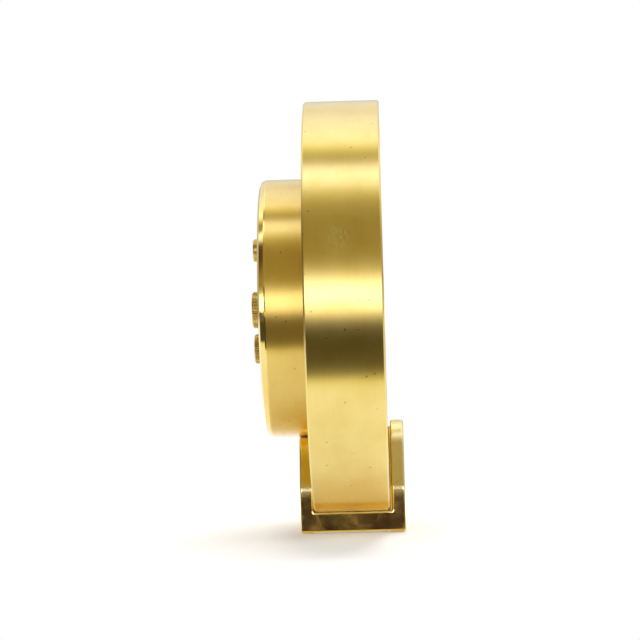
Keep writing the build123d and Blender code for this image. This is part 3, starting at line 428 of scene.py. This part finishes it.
def foot_wear(tree, spot, tone, rough):
    """Paints the tabs paler (rubbed satin and a painted highlight), the seat under the drum pale
    (painted light), low tarnish, and the rear tab amber (painted reflection).

    Gives back the colour, the roughness, and how metallic the surface is.
    """
    place = put(tree, "SeparateXYZ", {0: spot}).outputs
    outward = math_node(tree, "ABSOLUTE", place["X"])
    on_side = smooth_step(tree, outward, side_face - side_from, side_face - side_whole)
    satin = smooth_step(tree, place["Z"], satin_from, tabs_whole)
    rough = math_node(tree, "MULTIPLY_ADD", satin, satin_adds, rough)
    # The tabs' upper faces are rubbed to satin and painted paler: partly real wear, partly a
    # painted highlight.
    on_flank = math_node(tree, "MULTIPLY",
                         smooth_step(tree, place["Y"], foot_low.y + flank_from,
                                     foot_low.y + flank_whole),
                         smooth_step(tree, place["Y"], foot_high.y - flank_from,
                                     foot_high.y - flank_whole))
    worn_highlight = math_node(tree, "MULTIPLY", satin, on_flank)
    tone = tinted(tree, tone, worn_highlight, worn_highlight_share, worn_highlight_tone)
    # The seat under the drum is painted near white: painted light, so that the drum's underside
    # mirrors it pale.
    painted_seat_light = math_node(tree, "MULTIPLY", smooth_step(tree, place["Z"], seat_top, seat_whole),
                     smooth_step(tree, outward, side_face - seat_from, side_face - seat_inset))
    between = math_node(tree, "MULTIPLY",
                        smooth_step(tree, place["Y"], drum_low.y - seat_overrun, drum_low.y),
                        smooth_step(tree, place["Y"], drum_high.y + seat_overrun, drum_high.y))
    painted_seat_light = math_node(tree, "MULTIPLY", painted_seat_light, between)
    tone = mix_colour(tree, painted_seat_light, tone, seat_painted_light)
    patch = put(tree, "TexNoise", {"Vector": spot, "Scale": 480.0, "Detail": 8.0,
                                   "Roughness": 0.65, "Distortion": 0.3}).outputs[0]
    low = math_node(tree, "MULTIPLY", on_side,
                    smooth_step(tree, place["Z"], tabs_whole, stain_whole))
    stain = math_node(tree, "MULTIPLY", low,
                      smooth_step(tree, patch, tarnish_from, tarnish_whole))
    tone = tinted(tree, tone, stain, tarnish_share, tarnish_tone)
    rough = math_node(tree, "MULTIPLY_ADD", stain, tarnish_adds, rough)
    # The rear tab above its shoulder is painted amber: a painted reflection of the brass housing
    # and drum beside it.
    on_rear_tab = math_node(tree, "MULTIPLY",
                            smooth_step(tree, place["Y"], drum_high.y - rear_tab_amber_edge, drum_high.y),
                            smooth_step(tree, place["Y"], foot_high.y - rear_tab_amber_edge,
                                        foot_high.y - rear_tab_amber_whole))
    rear_tab_amber = math_node(tree, "MULTIPLY", on_rear_tab,
                       smooth_step(tree, place["Z"], tabs_start, tabs_whole))
    tone = tinted(tree, tone, rear_tab_amber, rear_tab_amber_share, rear_tab_painted_amber)
    return tone, rough, math_node(tree, "MULTIPLY_ADD", stain, -tarnish_dulls, 1.0)


def mirror_brass(name, roughness, spotted, wear_and_painted_light=None):
    """Buffed brass with faint smears and brown spots. A function of wear and painted light can add
    to it.
    """
    made, tree = plain_material(name)
    spot = put(tree, "TexCoord").outputs["Object"]
    tone, cloud = clouded(tree, spot, brass, brass_deep, scale=220.0, detail=5.0, starts=0.4)
    spots = use(tree, specks, per_metre=420.0, size=0.16, share=spotted)["Mask"]
    tone = tinted(tree, tone, spots, spot_share, spot_brown)
    rough = varied(tree, cloud, low=0.3, high=0.75, least=roughness, most=roughness * 2.2)
    metal = 1.0
    if wear_and_painted_light:
        tone, rough, metal = wear_and_painted_light(tree, spot, tone, rough)
    bump = put(tree, "Bump", {"Height": cloud, "Strength": 0.05, "Distance": 0.00005})
    shader = put(tree, "BsdfPrincipled", {
        "Base Color": tone, "Metallic": metal, "Roughness": rough, "Normal": bump.outputs[0],
        "Coat Weight": 0.25, "Coat Roughness": 0.05, "Coat IOR": lacquer_ior})
    put(tree, "OutputMaterial", {"Surface": shader.outputs[0]})
    return made


dress(mirror_brass("buffed foot brass", roughness=0.07, spotted=0.30, wear_and_painted_light=foot_wear), "foot")

# Behind the front tab a brass shim takes up the play between foot and drum, with a slip of dark
# rubber on it. Both are glued to the tab, and only their edges show, as a yellow line and a dark
# one beside the drum. The shim's saturated yellow is a painted reflection of the drum's brass, and
# the dark slip is painted shade where the gap beside the drum lies in shadow.
liner_margin = 0.9 * MM
liner_drop = 0.5 * MM
liner_bottom = 5.05 * MM
foot_tab_radius = 8.0 * MM
shim_gap, rubber_gap, drum_gap = 0.5 * MM, 0.19 * MM, 0.04 * MM
liner_tab_radius = foot_tab_radius - liner_margin
liner_half = side_face - liner_margin
liner_top = foot_high.z - liner_margin - liner_drop
shim_front = drum_low.y - shim_gap
liner_front = drum_low.y - rubber_gap
liner_back = drum_low.y - drum_gap


def moulded(name, colour, second, roughness, scale=900.0, bump_depth=0.00004, coat=0.0):
    """A moulded, painted or sprayed surface: two close tones, with its fine grain."""
    made, tree = plain_material(name)
    spot = put(tree, "TexCoord").outputs["Object"]
    grain = put(tree, "TexNoise", {"Vector": spot, "Scale": scale, "Detail": 4.0}).outputs[0]
    tone = clouded(tree, spot, colour, second, scale=140.0)[0]
    rough = varied(tree, grain, low=0.3, high=0.7, least=roughness * 0.85,
                   most=roughness * 1.15)
    bump = put(tree, "Bump", {"Height": grain, "Strength": 0.35, "Distance": bump_depth})
    shader = put(tree, "BsdfPrincipled", {
        "Base Color": tone, "Roughness": rough, "Normal": bump.outputs[0],
        "Coat Weight": coat, "Coat Roughness": 0.08})
    put(tree, "OutputMaterial", {"Surface": shader.outputs[0]})
    return made


def tapered_tab(half_width, shoulder, radius, top, bottom, steps=24):
    """Outline of a tab that tapers from a shoulder to a round top, as (x, z) points."""
    centre = top - radius
    reach = math.hypot(half_width, shoulder - centre)
    start = math.atan2(shoulder - centre, half_width) + math.acos(radius / reach)
    sweep = math.pi - 2 * start
    arc = [(radius * math.cos(start + sweep * step / steps),
            centre + radius * math.sin(start + sweep * step / steps)) for step in range(steps + 1)]
    return [(half_width, bottom), (half_width, shoulder), *arc,
            (-half_width, shoulder), (-half_width, bottom)]


def flat_plate(outline, front, back):
    """Gives a build function for a flat plate between two depths, from (x, z) points."""
    def build(shape):
        face = shape.faces.new([shape.verts.new((x, front, z)) for x, z in outline])
        thick = bmesh.ops.extrude_face_region(shape, geom=[face])["geom"]
        moved = [part for part in thick if isinstance(part, bmesh.types.BMVert)]
        bmesh.ops.translate(shape, vec=(0, back - front, 0), verts=moved)
        bmesh.ops.recalc_face_normals(shape, faces=shape.faces)
    return build


def struck_metal(name, tone, second, roughness, scale=2400.0, stretch=(1.0, 1.0, 0.04),
                 bump_depth=0.00001, coat=0.0):
    """Rolled or struck metal: a straight fine grain along one way, and two close tones."""
    made, tree = plain_material(name)
    spot = put(tree, "TexCoord").outputs["Object"]
    along = put(tree, "VectorMath", {0: spot, 1: stretch}, operation="MULTIPLY").outputs[0]
    grain = put(tree, "TexNoise", {"Vector": along, "Scale": scale, "Detail": 4.0}).outputs[0]
    colour = clouded(tree, spot, tone, second, scale=300.0)[0]
    rough = varied(tree, grain, low=0.3, high=0.7, least=roughness * 0.7,
                   most=roughness * 1.3)
    bump = put(tree, "Bump", {"Height": grain, "Strength": 0.3, "Distance": bump_depth})
    shader = put(tree, "BsdfPrincipled", {
        "Base Color": colour, "Metallic": 1.0, "Roughness": rough, "Normal": bump.outputs[0],
        "Coat Weight": coat, "Coat Roughness": 0.1})
    put(tree, "OutputMaterial", {"Surface": shader.outputs[0]})
    return made


liner_outline = tapered_tab(liner_half, tabs_start, liner_tab_radius, liner_top, liner_bottom)
shim_reflection_tones = (1.0, 0.72, 0.10), (0.95, 0.66, 0.08)
rubber_and_gap_shade = moulded("dark rubber", (0.050, 0.036, 0.016), (0.034, 0.026, 0.014),
                 roughness=0.75)
# The shim's bright yellow is a painted reflection, and the dark slip is painted shade in the gap
# between tab and drum.
for piece, front, back, finish, slot_name in (
        ("foot_shim", shim_front, liner_front,
         struck_metal("shim brass", *shim_reflection_tones, roughness=0.5), "polished_brass"),
        ("foot_gap_shade_liner", liner_front, liner_back, rubber_and_gap_shade, "gasket_rubber")):
    made = mesh_object(piece, flat_plate(liner_outline, front, back), finish)
    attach(made, "case")

# The pad: green wool felt, die cut and glued into the foot's recess. It stands a fifth of a
# millimetre proud, so the brass never touches the desk, and its edges are a little furry.
pad_low, pad_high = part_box("foot_pad")
pad_cuts = 36
pad_wave = 0.05 * MM
pad_edge_from, pad_edge_fall = 0.94, 0.75
fibre_count, fibre_length, fibre_width = 420, 0.5 * MM, 0.03 * MM
fibre_shortest = 0.3
fibre_seed = 7
root_inset, root_lowest, root_highest = 0.995, -0.5, 0.2
fibre_stray, fibre_tilt = 1, 0.1
felt_green = (0.055, 0.14, 0.075)
felt_dark = (0.030, 0.085, 0.045)
felt_worn = (0.075, 0.17, 0.095)


def build_pad(shape):
    """A crowned slab with soft edges and loose fibres round them."""
    draw = random.Random(fibre_seed)
    middle = (pad_low + pad_high) / 2
    half = (pad_high - pad_low) / 2
    grid = []
    for row in range(pad_cuts + 1):
        for column in range(pad_cuts + 1):
            across = 2 * column / pad_cuts - 1
            along = 2 * row / pad_cuts - 1
            edge = max(abs(across), abs(along))
            past_edge = max(0.0, (edge - pad_edge_from) / (1 - pad_edge_from))
            fall = half.z * pad_edge_fall * past_edge ** 2
            grid.append((middle.x + half.x * across, middle.y + half.y * along, fall,
                         draw.uniform(-pad_wave, pad_wave)))
    side = pad_cuts + 1
    layers = []
    for surface in (-1, 1):
        verts = []
        for x, y, fall, wave in grid:
            lift = half.z - fall
            z = middle.z + surface * lift + (wave - pad_wave if surface > 0 else 0.0)
            verts.append(shape.verts.new((x, y, z)))
        for row in range(pad_cuts):
            for column in range(pad_cuts):
                corner = row * side + column
                quad = [verts[corner], verts[corner + 1], verts[corner + side + 1],
                        verts[corner + side]]
                shape.faces.new(quad if surface > 0 else quad[::-1])
        layers.append(verts)
    rim = list(range(side))
    rim += [row * side + side - 1 for row in range(1, side)]
    rim += [(side - 1) * side + column for column in range(side - 2, -1, -1)]
    rim += [row * side for row in range(side - 2, 0, -1)]
    for first, second in zip(rim, rim[1:] + rim[:1]):
        shape.faces.new([layers[0][first], layers[0][second], layers[1][second], layers[1][first]])
    for count in range(fibre_count):
        turn = draw.uniform(0, 2 * math.pi)
        reach = 1 / max(abs(math.cos(turn)), abs(math.sin(turn)))
        root = Vector((middle.x + half.x * reach * math.cos(turn) * root_inset,
                       middle.y + half.y * reach * math.sin(turn) * root_inset,
                       middle.z + draw.uniform(root_lowest, root_highest) * half.z))
        away = Vector((math.cos(turn + draw.uniform(-fibre_stray, fibre_stray)),
                       math.sin(turn + draw.uniform(-fibre_stray, fibre_stray)),
                       draw.uniform(-fibre_tilt, fibre_tilt)))
        tip = root + away * draw.uniform(fibre_shortest, 1.0) * fibre_length
        side_step = Vector((-away.y, away.x, 0)) * fibre_width
        upward = Vector((0, 0, fibre_width))
        base = [shape.verts.new(root + side_step), shape.verts.new(root - side_step),
                shape.verts.new(root + upward)]
        point = shape.verts.new(tip)
        shape.faces.new(base)
        for first, second in zip(base, base[1:] + base[:1]):
            shape.faces.new([second, first, point])
    bmesh.ops.recalc_face_normals(shape, faces=shape.faces)


felt, tree = plain_material("green felt")
spot = put(tree, "TexCoord").outputs["Object"]
fibres = put(tree, "TexNoise", {"Vector": spot, "Scale": 2600.0, "Detail": 5.0,
                                "Distortion": 1.6}).outputs[0]
cloud = put(tree, "TexNoise", {"Vector": spot, "Scale": 260.0, "Detail": 3.0}).outputs[0]
tone = mix_colour(tree, smooth_step(tree, fibres, 0.35, 0.65), felt_dark, felt_green)
tone = mix_colour(tree, smooth_step(tree, cloud, 0.55, 0.8), tone, felt_worn)
bump = put(tree, "Bump", {"Height": fibres, "Strength": 0.8, "Distance": 0.0001})
shader = put(tree, "BsdfPrincipled", {
    "Base Color": tone, "Roughness": 0.95, "Sheen Weight": 0.5, "Sheen Roughness": 0.5,
    "Normal": bump.outputs[0]})
put(tree, "OutputMaterial", {"Surface": shader.outputs[0]})
pad = mesh_object("felt_pad", build_pad, felt)
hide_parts("foot_pad")
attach(pad, "case")

# The drum ring: a hoop of drawn brass tube, faced at both ends and turned bright on a lathe,
# then lacquered. The tool leaves hair-fine rings right round it, and years of handling have
# left small pits, specks and rubs in the lacquer.
lathe_rings, given, result = group(
    "lathe rings",
    [("Axis x", 0.0), ("Axis z", axis_height), ("Per metre", 9000.0), ("Run", 6.0)],
    "Rings", "Radius")
spot = put(lathe_rings, "SeparateXYZ", {0: put(lathe_rings, "TexCoord").outputs["Object"]}).outputs
across = math_node(lathe_rings, "SUBTRACT", spot["X"], given["Axis x"])
up = math_node(lathe_rings, "SUBTRACT", spot["Z"], given["Axis z"])
radial = put(lathe_rings, "CombineXYZ", {0: across, 2: up}).outputs[0]
radius = put(lathe_rings, "VectorMath", {0: radial}, operation="LENGTH").outputs["Value"]
direction = put(lathe_rings, "VectorMath", {0: radial}, operation="NORMALIZE").outputs[0]
turn = put(lathe_rings, "SeparateXYZ", {0: direction}).outputs
place = put(lathe_rings, "CombineXYZ", {
    0: math_node(lathe_rings, "MULTIPLY", turn["X"], given["Run"]),
    1: math_node(lathe_rings, "MULTIPLY", spot["Y"], given["Per metre"]),
    2: math_node(lathe_rings, "MULTIPLY", turn["Z"], given["Run"])}).outputs[0]
grain = put(lathe_rings, "TexNoise", {
    "Vector": place, "W": math_node(lathe_rings, "MULTIPLY", radius, given["Per metre"]),
    "Scale": 1.0, "Detail": 3.0, "Roughness": 0.6}, noise_dimensions="4D")
lathe_rings.links.new(grain.outputs[0], result["Rings"])
lathe_rings.links.new(radius, result["Radius"])

pit_brown, scuff_bright = (0.24, 0.14, 0.03), (1.0, 0.90, 0.50)
ring_share, grain_share, pit_share, scuff_share = 0.4, 0.3, 0.6, 0.8
grain_height, pit_height, scuff_height = 0.8, -0.6, 1.6
scuff_adds = 0.20
mirror_roughness, mirror_edge = 0.045, 0.15 * MM
scuff_leans = (0.5, 0.9, -0.35)
scuff_stretch = (1.0, 5200.0, 420.0)
hair_from, hair_whole = 0.58, 0.67

scuffs, given, result = group(
    "scuffs", [("Place x", 0.0), ("Place y", 0.0), ("Place z", 0.0), ("Reach", 0.004)], "Mask")
spot = put(scuffs, "TexCoord").outputs["Object"]
centre = put(scuffs, "CombineXYZ", {0: given["Place x"], 1: given["Place y"],
                                    2: given["Place z"]}).outputs[0]
offset = put(scuffs, "VectorMath", {0: spot, 1: centre}, operation="SUBTRACT").outputs[0]
away = put(scuffs, "VectorMath", {0: offset}, operation="LENGTH").outputs["Value"]
nearby = put(scuffs, "MapRange", {"Value": away, "From Min": given["Reach"], "From Max": 0.0})
lines = 0.0
for lean in scuff_leans:
    turned_spot = put(scuffs, "VectorRotate", {"Vector": offset, "Axis": (1.0, 0.0, 0.0),
                                               "Angle": lean}).outputs[0]
    stretched = put(scuffs, "VectorMath", {0: turned_spot, 1: scuff_stretch},
                    operation="MULTIPLY").outputs[0]
    hair = put(scuffs, "TexNoise", {"Vector": stretched, "Scale": 1.0, "Detail": 1.0}).outputs[0]
    lines = math_node(scuffs, "MAXIMUM", lines,
                      smooth_step(scuffs, hair, hair_from, hair_whole))
scuffs.links.new(math_node(scuffs, "MULTIPLY", lines, nearby.outputs["Result"]), result["Mask"])


def turned_brass(name, tones, roughness, ring_bump, axis=(0.0, axis_height), pits=0.45,
                 coat=1.0, bright_beyond=None, rub=None, metallic=1.0):
    """Lathe-turned, lacquered brass: rings about an axis along Y, with pits and specks.

    Past the radius bright_beyond it is cut to a mirror, and rub is the middle of a scuffed spot.
    """
    made, tree = plain_material(name)
    lathe = use(tree, lathe_rings, axis_x=axis[0], axis_z=axis[1])
    rings = lathe["Rings"]
    spot = put(tree, "TexCoord").outputs["Object"]
    tone = clouded(tree, spot, tones[0], tones[1], scale=160.0, detail=4.0)[0]
    tone = tinted(tree, tone, smooth_step(tree, rings, 0.45, 0.75), ring_share, tones[2])
    fine = put(tree, "TexNoise", {"Vector": spot, "Scale": 1500.0, "Detail": 3.0}).outputs[0]
    tone = tinted(tree, tone, smooth_step(tree, fine, 0.5, 0.8), grain_share, tones[1])
    dark = use(tree, specks, per_metre=420.0, size=0.125, share=pits)["Mask"]
    tone = tinted(tree, tone, dark, pit_share, pit_brown)
    rough = varied(tree, rings, low=0.25, high=0.75, least=roughness * 0.92,
                   most=roughness * 1.08)
    if bright_beyond:
        polished = smooth_step(tree, lathe["Radius"], bright_beyond, bright_beyond + mirror_edge)
        rough = put(tree, "Mix", {0: polished, 2: rough, 3: mirror_roughness},
                    data_type="FLOAT").outputs[0]
    depth = math_node(tree, "MULTIPLY_ADD", dark, pit_height,
                      math_node(tree, "MULTIPLY_ADD", fine, grain_height, rings))
    if rub:
        scuffed = use(tree, scuffs, place_x=rub[0], place_y=rub[1], place_z=rub[2])["Mask"]
        tone = tinted(tree, tone, scuffed, scuff_share, scuff_bright)
        depth = math_node(tree, "MULTIPLY_ADD", scuffed, scuff_height, depth)
        rough = math_node(tree, "MULTIPLY_ADD", scuffed, scuff_adds, rough)
    bump = put(tree, "Bump", {"Height": depth, "Strength": ring_bump, "Distance": 0.00002})
    tangent = put(tree, "Tangent", direction_type="RADIAL", axis="Y")
    shader = put(tree, "BsdfPrincipled", {
        "Base Color": tone, "Metallic": metallic, "Roughness": rough,
        "Anisotropic": 0.85, "Anisotropic Rotation": 0.25, "Tangent": tangent.outputs[0],
        "Normal": bump.outputs[0], "Coat Weight": coat, "Coat Roughness": 0.22,
        "Coat IOR": lacquer_ior})
    put(tree, "OutputMaterial", {"Surface": shader.outputs[0]})
    return made


brass_tones = (brass, brass_deep, brass_pale)
rub_place = (-0.0427, 0.0003, axis_height + 0.0141)
dress(turned_brass("turned drum brass", brass_tones, roughness=0.30, ring_bump=0.18,
                   rub=rub_place), "drum_ring")

# The rear housing: a shallow brass pan, spun and then turned to match the drum. Its flange
# is screwed to the back plate from inside, so that no screw shows on its wall.
housing_tones = ((0.79, 0.54, 0.095), (0.74, 0.49, 0.080), (0.83, 0.59, 0.13))
dress(turned_brass("turned housing brass", housing_tones, roughness=0.31, ring_bump=0.18,
                   pits=0.7, metallic=0.90), "rear_housing")

# The two end plates: discs of sheet brass, faced on the lathe so that fine rings run round
# the middle, lacquered like the drum that they are let into.
face_brass = turned_brass("turned face brass", brass_tones, roughness=0.30, ring_bump=0.30)
dress(face_brass, "front_plate", "back_plate")

# The back cover and its battery cap: turned brass discs. The cover's bevelled rim is cut last
# with a polished tool, so it shines like a mirror round the satin face.
cover_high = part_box("back_cover")[1]
cover_bevel, bevel_margin = 1.3 * MM, 0.1 * MM
bevel_starts = cover_high.x - cover_bevel - bevel_margin
dress(turned_brass("back cover brass", brass_tones, roughness=0.30, ring_bump=0.30,
                   bright_beyond=bevel_starts), "back_cover")
cap_low, cap_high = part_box("battery_cap")
cap_axis = ((cap_low.x + cap_high.x) / 2, (cap_low.z + cap_high.z) / 2)
dress(turned_brass("battery cap brass", brass_tones, roughness=0.30, ring_bump=0.30,
                   axis=cap_axis), "battery_cap")

# The bezel that holds the glass and the sloped ring between glass and dial: turned brass
# rings, buffed to a mirror before lacquering.
dress(mirror_brass("buffed brass", roughness=0.05, spotted=0.12), "bezel_ring", "dial_surround")

# The glass: a flat disc of clear window glass with ground edges, held against a rubber
# gasket. Its shadow is left out, so that the dial behind it stays evenly lit.
glass, tree = plain_material("clock glass")
clear = put(tree, "BsdfPrincipled", {"Base Color": (0.97, 0.99, 0.98, 1.0), "Roughness": 0.0,
                                     "IOR": 1.5, "Transmission Weight": 1.0})
through = put(tree, "BsdfTransparent", {"Color": (0.96, 0.97, 0.96, 1.0)})
shadow = put(tree, "LightPath").outputs["Is Shadow Ray"]
pane = put(tree, "MixShader", {0: shadow, 1: clear.outputs[0], 2: through.outputs[0]})
put(tree, "OutputMaterial", {"Surface": pane.outputs[0]})
dress(glass, "glass")
dress(rubber_and_gap_shade, "glass_gasket")

# The dial: a brass disc sprayed ivory and printed in black with plain numbers and a ring of
# minute strokes. Faceted brass batons are riveted on at the hours.
ivory, ivory_deep = (0.86, 0.82, 0.70), (0.83, 0.785, 0.655)
print_black = (0.018, 0.017, 0.016)
print_lift = 0.03 * MM
number_circle, number_height = 14.4 * MM, 3.3 * MM
type_size = 1.4 * number_height
track_inner, track_outer = 20.75 * MM, 21.45 * MM
stroke_width, hour_stroke_width = 0.14 * MM, 0.30 * MM
dial_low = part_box("dial")[0]
dress(moulded("ivory dial paint", ivory, ivory_deep, roughness=0.38, scale=2600.0,
              bump_depth=0.000015, coat=0.35), "dial")
ink = moulded("black printing ink", print_black, (0.028, 0.026, 0.024), roughness=0.42,
              scale=3000.0, bump_depth=0.00001)


def around_dial(circle, minute):
    """Place on a circle about the hands' arbor, clockwise from twelve as the dial is read."""
    angle = math.radians(90 - 6 * minute)
    return circle * math.cos(angle), axis_height + circle * math.sin(angle)


def build_track(shape):
    """Sixty printed strokes, with the ones at the hours wider."""
    for minute in range(60):
        width = stroke_width if minute % 5 else hour_stroke_width
        angle = math.radians(90 - 6 * minute)
        outward = Vector((math.cos(angle), 0, math.sin(angle)))
        aside = Vector((-outward.z, 0, outward.x)) * width / 2
        middle = Vector((0, 0, axis_height))
        corners = [middle + outward * track_inner + aside, middle + outward * track_outer + aside,
                   middle + outward * track_outer - aside, middle + outward * track_inner - aside]
        flat_plate([(corner.x, corner.z) for corner in corners], dial_low.y - print_lift,
                   dial_low.y)(shape)


track = mesh_object("minute_track", build_track, ink)
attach(track, "case")
for hour in range(1, 13):
    text = bpy.data.curves.new("number", "FONT")
    text.body = str(hour)
    text.size = type_size
    text.align_x, text.align_y = "CENTER", "CENTER"
    text.extrude = print_lift / 2
    drawn = bpy.data.objects.new("number", text)
    bpy.context.scene.collection.objects.link(drawn)
    bpy.context.view_layer.update()
    data = bpy.data.meshes.new_from_object(drawn.evaluated_get(
        bpy.context.evaluated_depsgraph_get()))
    bpy.data.objects.remove(drawn)
    x, z = around_dial(number_circle, 5 * hour)
    points = [vert.co for vert in data.vertices]
    middle = sum(points, Vector()) / len(points)
    across = [point.x for point in points]
    upright = [point.y for point in points]
    centre = (min(across) + max(across)) / 2, (min(upright) + max(upright)) / 2
    data.transform(Matrix.Translation((x, dial_low.y - print_lift / 2, z))
                   @ Matrix.Rotation(math.pi / 2, 4, "X")
                   @ Matrix.Translation((-centre[0], -centre[1], -middle.z)))
    data.materials.clear()
    data.materials.append(ink)
    number = bpy.data.objects.new(f"dial_number_{hour}", data)
    bpy.context.scene.collection.objects.link(number)
    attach(number, "case")


dress(struck_metal("baton brass", brass, brass_pale, roughness=0.16, coat=0.5), "hour_markers")

# The hands: punched from thin sheet brass and sprayed, the three time hands gloss black and
# the short alarm hand red, so that it isn't taken for one of them.
dress(moulded("black hand lacquer", (0.012, 0.012, 0.013), (0.020, 0.020, 0.021),
              roughness=0.28, scale=1800.0, bump_depth=0.000008, coat=0.6),
      "hour_hand", "minute_hand", "seconds_hand")
dress(moulded("red hand lacquer", (0.42, 0.035, 0.025), (0.36, 0.028, 0.020),
              roughness=0.30, scale=1800.0, bump_depth=0.000008, coat=0.6), "alarm_hand")

# The set knobs and the alarm button: turned from bronze bar, with straight flutes round the knobs.
# They are satin with hardly any lacquer left. Their tone is set darker than the drum's brass:
# partly darkened with age, partly painted shade for the dim light they sit in.
bronze_and_shade_tones = ((0.78, 0.56, 0.16), (0.68, 0.47, 0.125), (0.86, 0.64, 0.21))
for node in ("time_set_knob", "alarm_set_knob", "alarm_button"):
    low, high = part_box(node)
    knob_axis = ((low.x + high.x) / 2, (low.z + high.z) / 2)
    dress(turned_brass(f"{node.replace('_', ' ')} bronze", bronze_and_shade_tones, roughness=0.50,
                       ring_bump=0.3, axis=knob_axis, pits=0.1, coat=0.1), node)

# The movement: plates punched from rolled brass and grained in one direction, held apart by
# turned pillars. Wheels are struck from hard brass, and the arbors are ground steel.
dress(struck_metal("grained plate brass", (0.80, 0.60, 0.22), (0.74, 0.54, 0.18),
                   roughness=0.26),
      "main_plate", "movement_plate")
dress(struck_metal("struck wheel brass", (0.86, 0.66, 0.24), (0.78, 0.57, 0.18),
                   roughness=0.20),
      "case_posts", "foot_block", "pillars", "minute_pipe", "hour_wheel", "alarm_wheel",
      "minute_wheel", "setting_wheel", "centre_wheel", "third_wheel", "seconds_wheel",
      "intermediate_wheel")
dress(struck_metal("ground steel", (0.56, 0.57, 0.58), (0.48, 0.49, 0.50), roughness=0.22),
      "time_set_arbor", "alarm_set_arbor", "clutch_spring", "stator", "coil_core")
dress(moulded("magnet ferrite", (0.055, 0.052, 0.050), (0.085, 0.080, 0.076), roughness=0.5),
      "rotor")

# The screws: zinc-plated steel with slotted heads, tumbled to a soft shine. Their slots are
# in the solids, and dust has darkened the plating a little.
dress(struck_metal("plated screw steel", (0.62, 0.55, 0.42), (0.50, 0.44, 0.33),
                   roughness=0.34, stretch=(1.0, 1.0, 1.0)),
      "case_screws", "housing_screws", "movement_screws", "plate_screws", "foot_screws")

# The motor coil: fine enamelled copper wire wound in layers on the steel core, with the
# turns standing side by side like a ribbed sleeve.
winding, tree = plain_material("enamelled winding")
spot = put(tree, "TexCoord").outputs["Object"]
turns = put(tree, "TexWave", {"Vector": spot, "Scale": 260.0, "Distortion": 0.4,
                              "Detail": 1.0}, bands_direction="Z").outputs["Fac"]
# The colour runs dark in the grooves between turns and light on their crests: painted shade and
# painted highlight.
tone = mix_colour(tree, turns, (0.40, 0.13, 0.05), (0.78, 0.33, 0.14))
bump = put(tree, "Bump", {"Height": turns, "Strength": 0.6, "Distance": 0.00004})
rough = put(tree, "MapRange", {"Value": turns, "To Min": 0.5, "To Max": 0.24})
shader = put(tree, "BsdfPrincipled", {
    "Base Color": tone, "Metallic": 1.0, "Roughness": rough.outputs["Result"],
    "Normal": bump.outputs[0], "Coat Weight": 0.5, "Coat Roughness": 0.2})
put(tree, "OutputMaterial", {"Surface": shader.outputs[0]})
dress(winding, "coil")

# The circuit board: green glass-fibre laminate with etched copper tracks under the solder
# mask. It carries the chip, the crystal, the alarm switch and the sounder.
board, tree = plain_material("green laminate")
spot = put(tree, "TexCoord").outputs["Object"]
tracks = put(tree, "TexBrick", {"Vector": put(tree, "VectorRotate", {
    "Vector": spot, "Axis": (1.0, 0.0, 0.0), "Angle": math.pi / 2}).outputs[0],
    "Scale": 700.0, "Mortar Size": 0.06, "Mortar Smooth": 0.2}).outputs["Fac"]
weave = put(tree, "TexNoise", {"Vector": spot, "Scale": 1500.0, "Detail": 3.0}).outputs[0]
tone = mix_colour(tree, smooth_step(tree, weave, 0.35, 0.65), (0.02, 0.11, 0.05),
                  (0.03, 0.14, 0.065))
tone = tinted(tree, tone, tracks, 0.8, (0.06, 0.26, 0.10))
bump = put(tree, "Bump", {"Height": tracks, "Strength": 0.4, "Distance": 0.00005})
rough = put(tree, "MapRange", {"Value": weave, "To Min": 0.25, "To Max": 0.45})
shader = put(tree, "BsdfPrincipled", {
    "Base Color": tone, "Roughness": rough.outputs["Result"], "Normal": bump.outputs[0],
    "Coat Weight": 0.4, "Coat Roughness": 0.1})
put(tree, "OutputMaterial", {"Surface": shader.outputs[0]})
dress(board, "circuit_board")
dress(moulded("black moulded plastic", (0.022, 0.022, 0.023), (0.033, 0.033, 0.034),
              roughness=0.5),
      "clock_chip", "buzzer", "alarm_switch")

# The battery: a button cell in a white moulded cup, with sprung contacts of nickel-plated
# strip. The crystal's can has the same plating.
dress(moulded("white moulded plastic", (0.80, 0.79, 0.76), (0.76, 0.75, 0.72), roughness=0.42),
      "battery_holder")
dress(struck_metal("bright nickel plating", (0.66, 0.63, 0.57), (0.58, 0.55, 0.49),
                   roughness=0.18, stretch=(1.0, 1.0, 1.0)),
      "quartz_crystal", "battery_cell", "positive_contact", "negative_contact")
